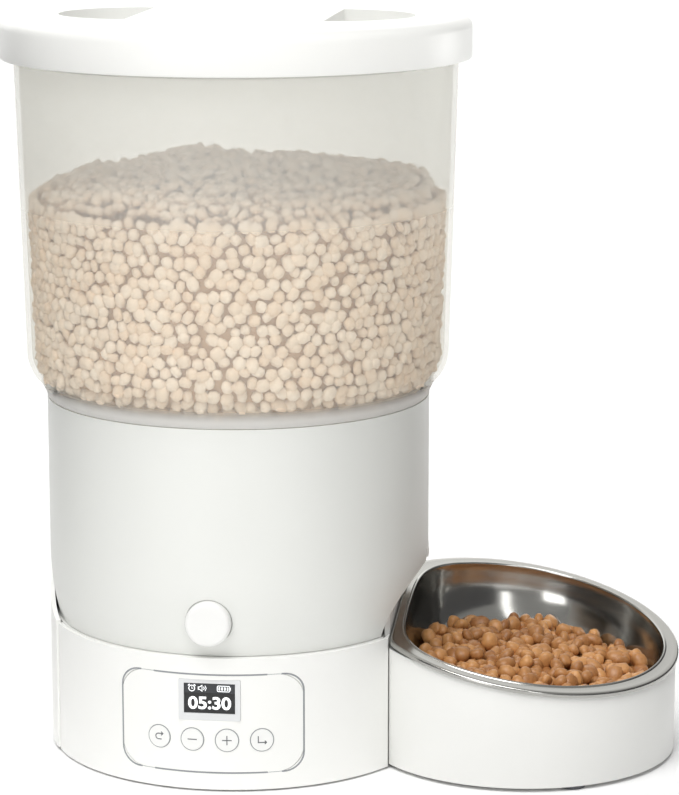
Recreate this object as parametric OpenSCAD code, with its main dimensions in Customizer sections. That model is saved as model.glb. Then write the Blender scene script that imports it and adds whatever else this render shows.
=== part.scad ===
// Automatic pet feeder: a round storage tank on a dispensing base, with a tilted
// steel bowl beside it. +Z is up, the control panel faces -Y and the bowl lies
// toward +X. The origin is on the floor under the middle of the whole object.

/* [Overall] */
// Distance from the tower's axis to the bowl's axis
bowl_d = 154.5; // [152:0.5:160]
// Height of the base, up to the joint with the hopper housing
base_h = 72; // [68:0.5:76]
// Height of the hopper housing above the base
housing_h = 121; // [112:1:150]
// Height of the translucent tank above the hopper housing
tank_h = 181; // [120:1:240]
// Running gap between pieces that slide or lift past each other
fit_gap = 0.4; // [0.3:0.05:0.6]

/* [Tank and lid] */
// Outside radius of the tank at its top
tank_top_r = 118.2; // [116:0.2:122]
// Outside radius of the tank just above its shoulder
tank_low_r = 113.6; // [110:0.2:116]
// Wall thickness of the tank
tank_wall = 2.6; // [2:0.1:3.2]
// Radius of the tank's rounded shoulder
shoulder_r = 20; // [14:1:22]
// Length of the tank's neck inside the hopper housing
neck_len = 11; // [8:1:14]
// How far the tank reaches up inside the lid
tank_in_lid = 14; // [10:1:16]
// Outside radius of the lid
lid_r = 125; // [123:0.5:130]
// Height of the lid
lid_h = 22; // [20:1:28]
// Wall thickness of the lid
lid_wall = 3; // [2:0.2:3.6]
// Rounding of the lid's top edge
lid_round = 6; // [2:0.5:8]
// Half width of the bridge between the two finger wells
bridge_half = 52; // [46:1:58]
// Radius of each half-round finger well
well_r = 43; // [36:1:46]
// Depth of each finger well
well_depth = 12; // [6:0.5:14]
// Radius of the round desiccant holder under the lid
dry_r = 30; // [22:1:36]

/* [Hopper housing] */
// Outside radius of the hopper housing
housing_r = 103.2; // [102:0.1:104]
// Wall thickness of the hopper housing
housing_wall = 2.4; // [2:0.1:2.8]
// How far the housing's lower edge curves inward
tuck = 4.6; // [3:0.2:5]
// Height over which the housing's lower edge curves inward
tuck_h = 37; // [30:1:44]
// Radius of the metering chamber
chamber_r = 58; // [50:1:62]
// Height of the chamber floor above the base
chamber_z = 46; // [44:1:54]
// Height of the feed rotor's paddles
paddle_h = 24; // [18:1:28]
// Number of paddles on the feed rotor
paddles = 6; // [5:1:8]
// Radius of the rotor's lower journal
journal_r = 8; // [7:0.5:9]
// Radius of the release knob
knob_r = 12; // [9:0.5:14]
// Height of the release knob's axis above the base
knob_z = 19; // [17:0.5:24]
// How far the release knob can be pushed in
knob_travel = 3; // [2:0.5:3]

/* [Base] */
// Outside radius of the base's front cover
base_r = 102.5; // [101:0.1:103]
// How much prouder the rear shell is than the front cover
rear_proud = 1.1; // [0.6:0.1:1.2]
// Wall thickness of the base shells
base_wall = 2.4; // [2:0.1:2.8]
// Height of the rear shell's cradle above the base
cradle_h = 36; // [35:0.5:42]
// Distance from the tower's axis to the flat that the bowl stand meets
flat_x = 87.7; // [86:0.1:88]
// Angle from the front to the left seam of the front cover
seam_a = 63.8; // [58:0.2:68]
// Height of the mouth's arch above the base
mouth_h = 31; // [28:0.5:32]
// Width of the control panel
panel_w = 95.6; // [88:0.2:100]
// Height of the control panel
panel_h = 52.6; // [50:0.2:54]
// Corner radius of the control panel
panel_round = 13; // [8:1:16]
// Height of the control panel's centre above the floor
panel_z = 36.7; // [35:0.1:38]
// Width of the display
display_w = 27; // [22:0.5:29]
// Height of the display
display_h = 16.2; // [12:0.2:17]
// Height of the display's centre above the floor
display_z = 50.2; // [49:0.1:51]
// Radius of each key
key_r = 5.85; // [4.5:0.05:6.2]
// Angle between neighbouring keys, seen from the tower's axis
key_pitch_a = 10.2; // [9:0.1:12]
// Height of the keys above the floor
key_z = 28; // [26:0.5:29]
// How far a key can be pressed
key_travel = 0.8; // [0.4:0.1:0.8]

/* [Drive] */
// Gear tooth module
gear_m = 1; // [0.9:0.05:1]
// Teeth on the drive gear
gear_teeth = 44; // [40:2:44]
// Teeth on the motor pinion
pinion_teeth = 16; // [16:1:18]
// Radius of the drive shaft
shaft_r = 3; // [2.5:0.1:3.4]
// Radius of the gear motor's can
motor_r = 12.5; // [10:0.5:14]

/* [Bowl] */
// Outside radius of the bowl's flange
flange_r = 85.7; // [85:0.1:87]
// How far the bowl stand is set back under the flange's edge
stand_inset = 1.7; // [1.3:0.1:3]
// Wall thickness of the bowl stand
stand_wall = 2.4; // [2:0.1:2.8]
// Height of the flange's plane at the bowl's axis
rim_z = 68.3; // [66:0.1:70]
// Tilt of the flange's plane
rim_tilt = 11.4; // [9:0.1:12]
// Direction the flange slopes down to, from +X toward -Y
rim_az = 40; // [30:1:50]
// Width of the flange around the bowl's opening
flange_w = 7.2; // [6:0.1:10]
// Width of the flange along the opening's flattened side
flat_w = 4; // [3.8:0.1:8]
// Depth of the bowl
bowl_depth = 38; // [30:1:40]
// Thickness of the bowl's sheet steel
steel_t = 0.8; // [0.6:0.1:1]

/* [Hidden] */
$fn = 96;
eps = 0.02;              // overlap that keeps joined solids and cuts clean
slip = 0.1;              // between round pieces that are fixed inside each other
big = 400;               // longer than anything that is cut

// Places along X: the middle of the whole object is at x = 0
bowl_reach = bowl_d + flange_r;
tower_x = -(bowl_reach - lid_r) / 2;
bowl_x = tower_x + bowl_d;

// Heights
foot_h = 2;
pan_t = 3;
deck_t = 3;
housing_z = base_h + 0.3;
split_z = base_h + housing_h;
lid_z = split_z + tank_h;
tank_top_z = lid_z + tank_in_lid;
cradle_z = base_h + cradle_h;
floor_z = base_h + chamber_z;
floor_t = 3;
rotor_z = floor_z + floor_t + 0.5;
rotor_top = rotor_z + paddle_h;
cover_z = rotor_top + 1;
cover_t = 2;
chamber_top = cover_z + cover_t + 4;
funnel_top = split_z - neck_len + 3;
turret_top = floor_z - 12;
rear_r = base_r + rear_proud;
housing_in = housing_r - housing_wall;
panel_t = 2.1;
stand_x = flat_x + 0.5;
stand_r = flange_r - stand_inset;
flange_x = flat_x + 0.8;
open_r = flange_r - flange_w;
open_flat = bowl_d - flange_x - flat_w;

// Colours
white = [0.95, 0.95, 0.94];
shade = [0.89, 0.89, 0.88];
frost = [0.93, 0.93, 0.92, 0.6];
steel = [0.76, 0.76, 0.77];
dark = [0.12, 0.12, 0.13];
board_green = [0.07, 0.32, 0.2];
rubber_grey = [0.3, 0.3, 0.31];
brass_tone = [0.79, 0.66, 0.33];

module at_tower() translate([tower_x, 0, 0]) children();

module at_bowl() translate([bowl_x, 0, 0]) children();

// Frame of the flange: its plane is z = 0 and its axis is the bowl's
module on_rim()
    translate([bowl_x, 0, rim_z]) rotate([0, 0, -rim_az]) rotate([0, rim_tilt, 0])
        rotate([0, 0, rim_az]) children();

module ring(r_out, r_in, z0, z1)
    translate([0, 0, z0]) difference() {
        cylinder(r = r_out, h = z1 - z0);
        translate([0, 0, -1]) cylinder(r = r_in, h = z1 - z0 + 2);
    }

// Wedge between two angles counted from the front (-Y) toward +X
module sector(a0, a1, r, z0, z1)
    translate([0, 0, z0]) linear_extrude(z1 - z0)
        polygon(concat([[0, 0]], [for (i = [0:8]) let (a = a0 + (a1 - a0) * i / 8 - 90)
            [r * cos(a), r * sin(a)]]));

// Everything on the tower side of a plane across X
module tower_side(x) translate([-big, -big / 2, -big / 2]) cube([big + x, big, 2 * big]);

module bowl_side(x) translate([x, -big / 2, -big / 2]) cube([big, big, 2 * big]);

module rounded_square(w, h, r) {
    square([w - 2 * r, h], center = true);
    square([w, h - 2 * r], center = true);
    for (sx = [-1, 1], sy = [-1, 1])
        translate([sx * (w / 2 - r), sy * (h / 2 - r)]) circle(r, $fn = 48);
}

// Prism along Y with a rounded outline, for cuts through the front cover
module front_prism(w, h, r, z, y0, y1)
    translate([0, y1, z]) rotate([90, 0, 0]) linear_extrude(y1 - y0) rounded_square(w, h, r);

// A radial direction on the front of the tower
module toward(a, z) translate([0, 0, z]) rotate([0, 0, a]) rotate([90, 0, 0]) children();

// ---------------------------------------------------------------- mouth
mouth_front = 52;
mouth_back = 54.5;
mouth_low = 14;

// Height of the arch at a place across the mouth; its back is squarer
function arch(y, grow = 0) =
    let (w = (y < 0 ? mouth_front : mouth_back) + grow, n = y < 0 ? 2.2 : 5)
    (mouth_h + grow) * pow(max(0, 1 - pow(abs(y) / w, n)), 1 / n);

// Arch-shaped prism along X, from the mouth's lower edge up to its crown
module mouth_prism(x0, x1, grow = 0, low = mouth_low) {
    w0 = mouth_front + grow;
    w1 = mouth_back + grow;
    steps = 28;
    ys = [for (i = [0:steps]) let (a = 180 * i / steps) cos(a) < 0 ? -cos(a) * w1 : -cos(a) * w0];
    translate([x0, 0, base_h]) rotate([90, 0, 90]) linear_extrude(x1 - x0)
        polygon(concat([[w1, -low], [-w0, -low]], [for (y = ys) [y, arch(y, grow)]]));
}

// Side view of the cradle: it rises from the front seams toward the back
cradle_run = 56;

module cradle_region(grow = 0)
    rotate([90, 0, 90]) translate([0, base_h - grow, -big / 2]) linear_extrude(big)
        polygon(concat([[big / 2, 0], [-cradle_run - grow, 0]],
            [for (i = [1:12]) let (t = i / 12)
                [-cradle_run * (1 - t) - grow, cradle_h * t * t + 2 * grow]],
            [[big / 2, cradle_h + 2 * grow]]));

// ---------------------------------------------------------------- lid
seal_r = tank_top_r - tank_wall - 0.5;
seal_ring_r = seal_r - 2;
seal_t = 2.2;

module lid() color(white) at_tower() translate([0, 0, lid_z]) {
    difference() {
        union() {
            difference() {
                rotate_extrude() {
                    square([lid_r - lid_round, lid_h]);
                    square([lid_r, lid_h - lid_round]);
                    translate([lid_r - lid_round, lid_h - lid_round])
                        intersection() { circle(lid_round, $fn = 48); square(lid_round); }
                }
                translate([0, 0, -1]) cylinder(r = lid_r - lid_wall, h = lid_h - lid_wall + 1);
            }
            ring(seal_ring_r, seal_ring_r - seal_t, -2, lid_h - lid_wall + eps);
            for (s = [-1, 1]) finger_well(s, well_r + lid_wall / 2, well_depth + lid_wall / 2);
        }
        for (s = [-1, 1]) finger_well(s, well_r, well_depth, 1);
    }
}

// Half-round well beside the bridge; above = how far it rises past the lid's top
module finger_well(s, r, depth, above = -0.5)
    translate([s * bridge_half, 0, lid_h - depth]) intersection() {
        cylinder(r = r, h = depth + above);
        rotate([0, 0, s > 0 ? 0 : 180]) translate([r - well_r > 0 ? well_r - r : 0, -big / 2, -1])
            cube([big, big, lid_h + 4]);
    }

module lid_seal() color(rubber_grey) at_tower() translate([0, 0, lid_z]) {
    ring(seal_r, seal_ring_r + slip, 1, 2.6);
    ring(seal_r, seal_ring_r + slip, 5, 6.6);
    ring(seal_ring_r + 0.9, seal_ring_r + slip, 1, 6.6);
}

dry_h = 14;
dry_wall = 1.6;
dry_z = lid_z + lid_h - lid_wall - dry_h;

module desiccant_holder() color(white) at_tower()
    difference() {
        translate([0, 0, dry_z]) cylinder(r = dry_r, h = dry_h - eps);
        translate([0, 0, dry_z - 1]) cylinder(r = dry_r - dry_wall, h = dry_h - dry_wall + 1);
    }

module desiccant_pack() color("ivory") at_tower()
    translate([0, 0, dry_z + 2.4]) cylinder(r = dry_r - dry_wall - 1, h = dry_h - dry_wall - 3);

module desiccant_cover() color(shade) at_tower() difference() {
    union() {
        translate([0, 0, dry_z - 1.8]) cylinder(r = dry_r, h = 1.6);
        ring(dry_r - dry_wall - 0.3, dry_r - 2 * dry_wall, dry_z - 0.4, dry_z + 2);
    }
    for (k = [0:4]) translate([-0.6 * dry_r, (k - 2) * dry_r / 4 - 1, dry_z - 3])
        cube([1.2 * dry_r, 2, 2.7]);
}

// ---------------------------------------------------------------- tank
// Points of the shoulder's outer curve, from its foot up to the straight wall
shoulder_z = split_z + 4 + shoulder_r;
shoulder_foot_r = housing_r - 0.2;
shoulder_a = 50;

function shoulder(t) = [for (i = [0:8]) let (a = -shoulder_a * (1 - i / 8))
    [tank_low_r - shoulder_r + (shoulder_r - t) * cos(a), shoulder_z + (shoulder_r - t) * sin(a)]];

module hopper_tank() color(frost) at_tower() rotate_extrude() polygon(concat(
    [[housing_in - fit_gap, split_z - neck_len], [housing_in - fit_gap, split_z + 0.3],
     [shoulder_foot_r, split_z + 0.3], [shoulder_foot_r, shoulder(0)[0][1] - 2.9]],
    shoulder(0),
    [[tank_top_r, tank_top_z], [tank_top_r - tank_wall, tank_top_z]],
    [for (i = [8:-1:0]) shoulder(tank_wall)[i]],
    [[housing_in - fit_gap - tank_wall, shoulder(0)[0][1] - 5],
     [housing_in - fit_gap - tank_wall, split_z - neck_len]]));

// ---------------------------------------------------------------- hopper housing
collar_in = housing_r - tuck - 2;

function tuck_points() = [for (i = [0:8]) let (t = i / 8)
    [housing_r - tuck * (1 - t) * (1 - t), housing_z + tuck_h * t]];

module hopper_housing() color(shade) at_tower() difference() {
    rotate_extrude() polygon(concat(
        [[collar_in, housing_z]], tuck_points(),
        [[housing_r, split_z], [housing_in, split_z], [housing_in, housing_z + tuck_h + 5],
         [collar_in, housing_z + tuck_h]]));
    intersection() {
        ring(big / 2, rear_r - base_wall - 2 * fit_gap, 0, cradle_z + 2);
        cradle_region(fit_gap);
    }
    mouth_prism(chamber_r, big / 2);
    toward(0, base_h + knob_z) translate([0, 0, housing_in - 12]) cylinder(r = knob_r + 0.3, h = 40);
}

module funnel() color(shade) at_tower() rotate_extrude() polygon([
    [chamber_r + 2, chamber_top - 8], [chamber_r + 4, chamber_top - 8],
    [chamber_r + 4, chamber_top - 1], [housing_in - 2, funnel_top - 7],
    [housing_in - 0.1, funnel_top - 7], [housing_in - 0.1, funnel_top - 3.3],
    [housing_in - 4, funnel_top - 3.3], [chamber_r + 2, chamber_top + 1]]);

outlet_a = 26;
outlet_in = 24;
outlet_out = chamber_r - 4;

module metering_chamber() color(shade) at_tower() difference() {
    union() {
        translate([0, 0, floor_z]) cylinder(r = chamber_r + 2 - slip, h = floor_t);
        ring(chamber_r + 2 - slip, chamber_r, floor_z, chamber_top);
        ring(chamber_r + 6, chamber_r + 1, chamber_top - 12, chamber_top - 9);
        for (k = [0:3]) rotate([0, 0, 45 + 90 * k]) translate([chamber_r + 5, -2, chamber_top - 12])
            cube([housing_in - chamber_r - 5.3, 4, 3]);
    }
    translate([0, 0, floor_z - 1]) cylinder(r = journal_r + 0.08, h = floor_t + 2);
    intersection() {
        ring(outlet_out, outlet_in, floor_z - 1, floor_z + floor_t + 1);
        sector(90 - outlet_a, 90 + outlet_a, chamber_r, floor_z - 1, floor_z + floor_t + 1);
    }
}

// Plate over the outlet, so that only a metered pocket drops
module metering_cover() color(shade) at_tower() intersection() {
    ring(chamber_r - 0.1, hub_r + 1.5, cover_z, cover_z + cover_t);
    sector(90 - outlet_a - 14, 90 + outlet_a + 14, chamber_r + 5, cover_z, cover_z + cover_t);
}

hub_r = 13;
paddle_t = 2.4;
socket_r = 5.35;

module feed_rotor() color([0.86, 0.86, 0.84]) at_tower() difference() {
    union() {
        translate([0, 0, rotor_z]) cylinder(r = hub_r, h = paddle_h + 6);
        translate([0, 0, floor_z - 5]) cylinder(r = journal_r, h = rotor_z - floor_z + 5 + eps);
        for (k = [0:paddles - 1]) rotate([0, 0, k * 360 / paddles])
            translate([hub_r - 1, -paddle_t / 2, rotor_z])
                cube([chamber_r - 0.8 - hub_r, paddle_t, paddle_h]);
    }
    translate([0, 0, floor_z - 6]) cylinder(r = socket_r, h = 12, $fn = 6);
}

stirrer_arm = 34;

module stirrer() color([0.75, 0.78, 0.8]) at_tower() translate([0, 0, rotor_top + 6]) {
    cylinder(r = hub_r - 1, h = 7);
    for (k = [0:2]) rotate([0, 0, 120 * k + 20]) translate([hub_r - 3, 0, 4.5]) rotate([0, 62, 0])
        cylinder(r = 2.2, h = stirrer_arm, $fn = 32);
}

// ---------------------------------------------------------------- release knob
knob_face = housing_r + knob_travel + 1.5;
knob_cap = 9;
stem_r = 4;
guide_in = housing_in - 24;
stem_in = guide_in - 8;

module release_knob() color(white) at_tower() toward(0, base_h + knob_z) {
    translate([0, 0, knob_face - knob_cap]) cylinder(r = knob_r - 1, h = knob_cap);
    translate([0, 0, knob_face - knob_cap]) cylinder(r = knob_r, h = knob_cap - 1);
    translate([0, 0, stem_in]) cylinder(r = stem_r, h = knob_face - knob_cap - stem_in + eps);
}

guide_t = 4;

// Bracket inside the housing that guides the knob's stem
module knob_guide() color(shade) at_tower() difference() {
    union() {
        toward(0, base_h + knob_z) translate([0, 0, guide_in]) cylinder(r = 10, h = guide_t);
        translate([-10, -guide_in - guide_t, base_h + knob_z - 1]) cube([20, guide_t, 29]);
        translate([-10, -housing_in, base_h + knob_z + 25]) cube([20, housing_in - guide_in, 3]);
    }
    toward(0, base_h + knob_z) translate([0, 0, guide_in - 1]) cylinder(r = stem_r + 0.06, h = guide_t + 2);
    ring(big / 2, housing_in - 0.1, 0, big);
}

spring_turns = 5;
spring_wire = 0.5;

// The return spring, drawn as a stack of rings over the stem
module knob_spring() color(steel) at_tower() toward(0, base_h + knob_z) {
    z0 = guide_in + guide_t + 0.2 + spring_wire;
    span = knob_face - knob_cap - 0.2 - spring_wire - z0;
    for (k = [0:spring_turns - 1]) translate([0, 0, z0 + span * k / (spring_turns - 1)])
        rotate_extrude() translate([stem_r + 1.4, 0]) circle(spring_wire, $fn = 16);
    for (a = [0, 180]) rotate([0, 0, a]) translate([stem_r + 1.4, 0, z0])
        cylinder(r = spring_wire * 0.6, h = span, $fn = 16);
}

module knob_clip() color(steel) at_tower() toward(0, base_h + knob_z)
    ring(stem_r + 2.4, stem_r + eps, guide_in - 1.6, guide_in - 0.6);

// ---------------------------------------------------------------- base shells
deck_r = base_r - base_wall - 0.3;
post_places = [[-70, -38], [-66, 48], [62, -52], [58, 60]];
turret_r = 14;
screw_r = 1.65;
head_r = 3.4;
head_sink = 2;
head_h = 1.6;
post_r = 4;

module base_deck() color(white) at_tower() difference() {
    union() {
        intersection() {
            translate([0, 0, base_h - deck_t]) cylinder(r = deck_r, h = deck_t - eps);
            tower_side(flat_x - base_wall - 0.3);
        }
        translate([0, 0, base_h - deck_t]) cylinder(r = turret_r, h = turret_top - base_h + deck_t);
    }
    translate([0, 0, base_h - deck_t - 1]) cylinder(r = shaft_r + 2, h = turret_top - base_h);
    translate([0, 0, turret_top - 9]) cylinder(r = bushing_r, h = 10);
    for (p = post_places) translate([p[0], p[1], base_h - deck_t - 1])
        cylinder(r = screw_r + 0.05, h = deck_t + 2);
}

bushing_r = 6;

module shaft_bushing() color(brass_tone) at_tower()
    ring(bushing_r - eps, shaft_r + 0.05, turret_top - 8.5, turret_top);

module front_cover() color(white) at_tower() difference() {
    intersection() {
        ring(base_r, base_r - base_wall, foot_h - 1, base_h);
        sector(-seam_a, 75, 2 * base_r, 0, base_h + 1);
        tower_side(flat_x);
    }
    front_prism(panel_w + 0.6, panel_h + 0.6, panel_round + 0.3, panel_z, -big, 0);
}

rear_in = rear_r - base_wall;
flat_front = sqrt(pow(base_r - base_wall - 0.1, 2) - pow(flat_x, 2));
jack_z = 16;

module rear_shell() color(white) at_tower() difference() {
    union() {
        intersection() {
            difference() {
                ring(rear_r, rear_in, foot_h, base_h + eps);
                sector(-seam_a - 0.15, 75, 2 * base_r, 0, base_h + 1);
            }
            tower_side(flat_x);
        }
        intersection() {
            translate([flat_x - base_wall, -flat_front, foot_h])
                cube([base_wall, flat_front + mouth_front, base_h - foot_h]);
            cylinder(r = rear_in + 0.1, h = big);
        }
        difference() {
            intersection() {
                ring(rear_r, rear_in, base_h, cradle_z);
                cradle_region();
            }
            sector(-seam_a - 0.15, 90, 2 * base_r, 0, big);
        }
    }
    mouth_prism(chamber_r, big / 2, fit_gap, 0);
    translate([0, rear_r, jack_z]) rotate([90, 0, 0]) linear_extrude(8, center = true)
        rounded_square(9.6, 3.8, 1.8);
}

module base_pan() color(white) at_tower() difference() {
    union() {
        intersection() {
            translate([0, 0, foot_h]) cylinder(r = base_r - base_wall - 0.3, h = pan_t);
            tower_side(flat_x - base_wall - 0.3);
        }
        for (p = post_places) translate([p[0], p[1], foot_h])
            cylinder(r = post_r, h = base_h - deck_t - foot_h - eps);
    }
    for (p = post_places) translate([p[0], p[1], foot_h - 1]) {
        cylinder(r = screw_r + 0.05, h = base_h);
        cylinder(r = head_r, h = head_sink + 1);
    }
    battery_hole(0.4, foot_h - 1, foot_h + pan_t + 1);
    translate([speaker_x, speaker_y, 0]) for (k = [0:5]) rotate([0, 0, 60 * k])
        translate([8, 0, 0]) cylinder(r = 1.6, h = 10);
}

// ---------------------------------------------------------------- outlet
hood_wall = 2;
chute_half = 26;
chute_wall = 2;
chute_start = 24;
chute_drop = base_h + 10;

module outlet_hood() color(white) at_tower() difference() {
    intersection() {
        difference() {
            mouth_prism(flat_x - base_wall, big / 2, -fit_gap, 0);
            mouth_prism(flat_x, big / 2, -fit_gap - hood_wall, mouth_low);
        }
        cylinder(r = collar_in + 1.4, h = big);
        translate([0, 0, base_h + 0.1]) cylinder(r = big / 2, h = big);
    }
    chute_bore(chute_half + chute_wall + 0.2, chute_wall + 0.2);
}

// Sloped passage from under the chamber's outlet to the mouth, wide by half on
// each side and grown outward by g
module chute_bore(half, g)
    translate([0, half, 0]) rotate([90, 0, 0]) linear_extrude(2 * half)
        polygon([[chute_start - g, floor_z + 3], [chute_start - g, floor_z - 7 - g],
            [flat_x + 4, chute_drop - 2 - g], [flat_x + 4, chute_drop + 15 + g],
            [outlet_out + 4 + g, floor_z - 2 + g], [outlet_out + 4 + g, floor_z + 3]]);

module chute() color(shade) at_tower() intersection() {
    union() {
        difference() {
            chute_bore(chute_half + chute_wall, chute_wall);
            chute_bore(chute_half, 0);
        }
        for (s = [-1, 1]) translate([chute_start + 10, s > 0 ? chute_half : -chute_half - chute_wall, base_h])
            cube([40, chute_wall, 20]);
    }
    translate([-big / 2, -big / 2, base_h]) cube([big / 2 + flat_x, big, floor_z - base_h - 0.3]);
}

// ---------------------------------------------------------------- drive
gear_z = base_h - 16;
gear_h = 6;
case_z = gear_z - 6;
centre_d = gear_m * (gear_teeth + pinion_teeth) / 2;
press_a = 20;
backlash = 0.12;

function inv(a) = tan(a) * 180 / PI - a;

// Angle from a tooth's middle to its flank at radius r
function flank(teeth, r) = let (rp = gear_m * teeth / 2, rb = rp * cos(press_a))
    90 / teeth - backlash / rp * 90 / PI + inv(press_a) - inv(acos(min(1, rb / r)));

module gear_outline(teeth) {
    rp = gear_m * teeth / 2;
    rb = rp * cos(press_a);
    ra = rp + 0.95 * gear_m;
    rr = rp - 1.25 * gear_m;
    r0 = max(rb, rr);
    side = [for (i = [0:4]) r0 + (ra - r0) * i / 4];
    rays = concat([[rr, -flank(teeth, r0)]], [for (r = side) [r, -flank(teeth, r)]],
        [for (i = [4:-1:0]) [side[i], flank(teeth, side[i])]], [[rr, flank(teeth, r0)]]);
    polygon([for (k = [0:teeth - 1], p = rays)
        let (a = k * 360 / teeth + p[1]) [p[0] * cos(a), p[0] * sin(a)]]);
}

module drive_gear() color([0.93, 0.92, 0.86]) at_tower() difference() {
    union() {
        translate([0, 0, gear_z]) linear_extrude(gear_h) gear_outline(gear_teeth);
        translate([0, 0, gear_z - 2]) cylinder(r = 7, h = gear_h + 6);
    }
    translate([0, 0, gear_z - 4]) cylinder(r = shaft_r + eps, h = gear_h + 12);
}

module drive_shaft() color(steel) at_tower()
    translate([0, 0, case_z + 1]) cylinder(r = shaft_r, h = turret_top + 10 - case_z);

module drive_dog() color([0.93, 0.92, 0.86]) at_tower() difference() {
    union() {
        translate([0, 0, turret_top + 0.4]) cylinder(r = journal_r, h = 4.2);
        translate([0, 0, turret_top + 4]) cylinder(r = socket_r - 0.3, h = 13, $fn = 6);
    }
    translate([0, 0, turret_top - 1]) cylinder(r = shaft_r + eps, h = 12.2);
}

module motor_place() translate([-centre_d, 0, 0]) children();

module motor_pinion() color(brass_tone) at_tower() motor_place() difference() {
    translate([0, 0, gear_z - 1]) rotate([0, 0, 180 / pinion_teeth]) linear_extrude(gear_h + 2)
        gear_outline(pinion_teeth);
    translate([0, 0, gear_z - 3]) cylinder(r = motor_shaft_r + eps, h = gear_h + 6);
}

motor_shaft_r = 2;

module motor_shaft() color(steel) at_tower() motor_place()
    translate([0, 0, case_z - 8]) cylinder(r = motor_shaft_r, h = gear_z + gear_h + 2 - case_z + 8);

motor_len = 34;

module gear_motor() color([0.7, 0.7, 0.72]) at_tower() motor_place() difference() {
    union() {
        translate([0, 0, case_z - motor_len]) cylinder(r = motor_r, h = motor_len);
        translate([0, 0, case_z - motor_len - 2]) cylinder(r = 5, h = 2 + eps);
        for (s = [-1, 1]) translate([-1.5, s * 7 - 1, case_z - motor_len - 5]) cube([3, 2, 5 + eps]);
    }
    translate([0, 0, case_z - 9]) cylinder(r = motor_shaft_r + 0.05, h = 12);
}

module case_plan(grow) {
    cylinder(r = gear_m * (gear_teeth / 2 + 1) + 0.8 + grow, h = big);
    motor_place() cylinder(r = gear_m * (pinion_teeth / 2 + 1) + 0.8 + grow, h = big);
    translate([-centre_d, -6 - grow, 0]) cube([centre_d, 12 + 2 * grow, big]);
}

module gearbox_case() color([0.35, 0.36, 0.38]) at_tower() difference() {
    intersection() {
        union() {
            translate([0, 0, case_z + eps]) case_plan(2);
            for (s = [-1, 1]) translate([0, s * (gear_m * gear_teeth / 2 + 6), case_z + 13])
                cylinder(r = 5, h = big);
        }
        translate([0, 0, case_z + eps]) cylinder(r = big / 4, h = base_h - deck_t - case_z - 2 * eps);
    }
    translate([0, 0, gear_z - 2.4]) case_plan(0);
    translate([0, 0, case_z - 1]) cylinder(r = shaft_r + 0.05, h = 10);
    motor_place() translate([0, 0, case_z - 1]) cylinder(r = motor_shaft_r + 1, h = 10);
}

// ---------------------------------------------------------------- control panel
key_hole = 0.3;
bezel_w = display_w + 5.5;
bezel_h = display_h + 5.8;
bezel_z = display_z - 0.8;
bezel_y = base_r - 0.6;
key_angles = [for (i = [0:3]) (i - 1.5) * key_pitch_a];

module control_panel() color(white) at_tower() difference() {
    union() {
        intersection() {
            ring(base_r, base_r - panel_t, 0, base_h);
            front_prism(panel_w, panel_h, panel_round, panel_z, -big, 0);
        }
        intersection() {
            ring(base_r - base_wall - 0.1, base_r - base_wall - 1.5, 0, base_h);
            front_prism(panel_w + 5, panel_h + 5, panel_round + 2.5, panel_z, -big, 0);
        }
        intersection() {
            ring(base_r - base_wall, base_r - base_wall - 0.2, 0, base_h);
            front_prism(panel_w, panel_h, panel_round, panel_z, -big, 0);
        }
        intersection() {
            ring(base_r - 1, base_r - base_wall - 0.1, 0, base_h);
            front_prism(panel_w, panel_h, panel_round, panel_z, -big, 0);
        }
    }
    front_prism(bezel_w + 0.1, bezel_h + 0.1, 0.6, bezel_z, -big, 0);
    for (a = key_angles) toward(a, key_z) translate([0, 0, base_r / 2])
        cylinder(r = key_r + key_hole, h = base_r);
}

module display_bezel() color([0.87, 0.87, 0.87]) at_tower() difference() {
    front_prism(bezel_w, bezel_h, 0.6, bezel_z, -bezel_y, -bezel_y + 5);
    front_prism(display_w, display_h, 0.1, display_z, -big, 0);
}

module display_glass() color(dark) at_tower()
    translate([-display_w / 2 + 0.1, -bezel_y + 0.5, display_z - display_h / 2 + 0.1])
        cube([display_w - 0.2, 1.1, display_h - 0.2]);

module display_module() color([0.25, 0.25, 0.27]) at_tower() {
    translate([-display_w / 2 + 0.1, -bezel_y + 1.7, display_z - display_h / 2 + 0.1])
        cube([display_w - 0.2, 4, display_h - 0.2]);
    translate([-display_w / 2 - 2, -bezel_y + 5.2, display_z - display_h / 2 - 2])
        cube([display_w + 4, board_y - 5.2, display_h + 4]);
}

key_face = base_r + 0.4;
key_in = base_r - 10;

module panel_key(i) at_tower() toward(key_angles[i], key_z) {
    translate([0, 0, key_in + 5.5]) cylinder(r = key_r, h = key_face - key_in - 5.5);
    translate([0, 0, key_in]) cylinder(r = 2, h = 6, $fn = 32);
}

module key_back() color(white) panel_key(0);

module key_minus() color(white) panel_key(1);

module key_plus() color(white) panel_key(2);

module key_enter() color(white) panel_key(3);

board_y = 14;
board_front = -bezel_y + board_y;

module tact_switches() color(dark) at_tower() intersection() {
    union() for (a = key_angles) toward(a, key_z) {
        translate([-3, -3, key_in - 20]) cube([6, 6, 18.4]);
        translate([0, 0, key_in - 10]) cylinder(r = 1.7, h = 10 - key_travel - 0.3, $fn = 32);
    }
    translate([-big / 2, board_front - big, 0]) cube([big, big, big]);
}

module control_board() color(board_green) at_tower()
    translate([-39, board_front, 12]) cube([78, 1.6, 52]);

// ---------------------------------------------------------------- base internals
speaker_x = -58;
speaker_y = 8;

module speaker() color(dark) at_tower() translate([speaker_x, speaker_y, foot_h + pan_t]) {
    cylinder(r = 14, h = 4);
    translate([0, 0, 4 - eps]) cylinder(r = 8, h = 5);
}

cell_r = 7.1;
cell_len = 50;
cell_tip = 1;
cell_pitch = 15.4;
cells_y = 26;
cell_z = foot_h + pan_t + 1 + cell_r;
bay_w = cell_len + 6;
bay_l = 4 * cell_pitch + 1;

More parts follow.
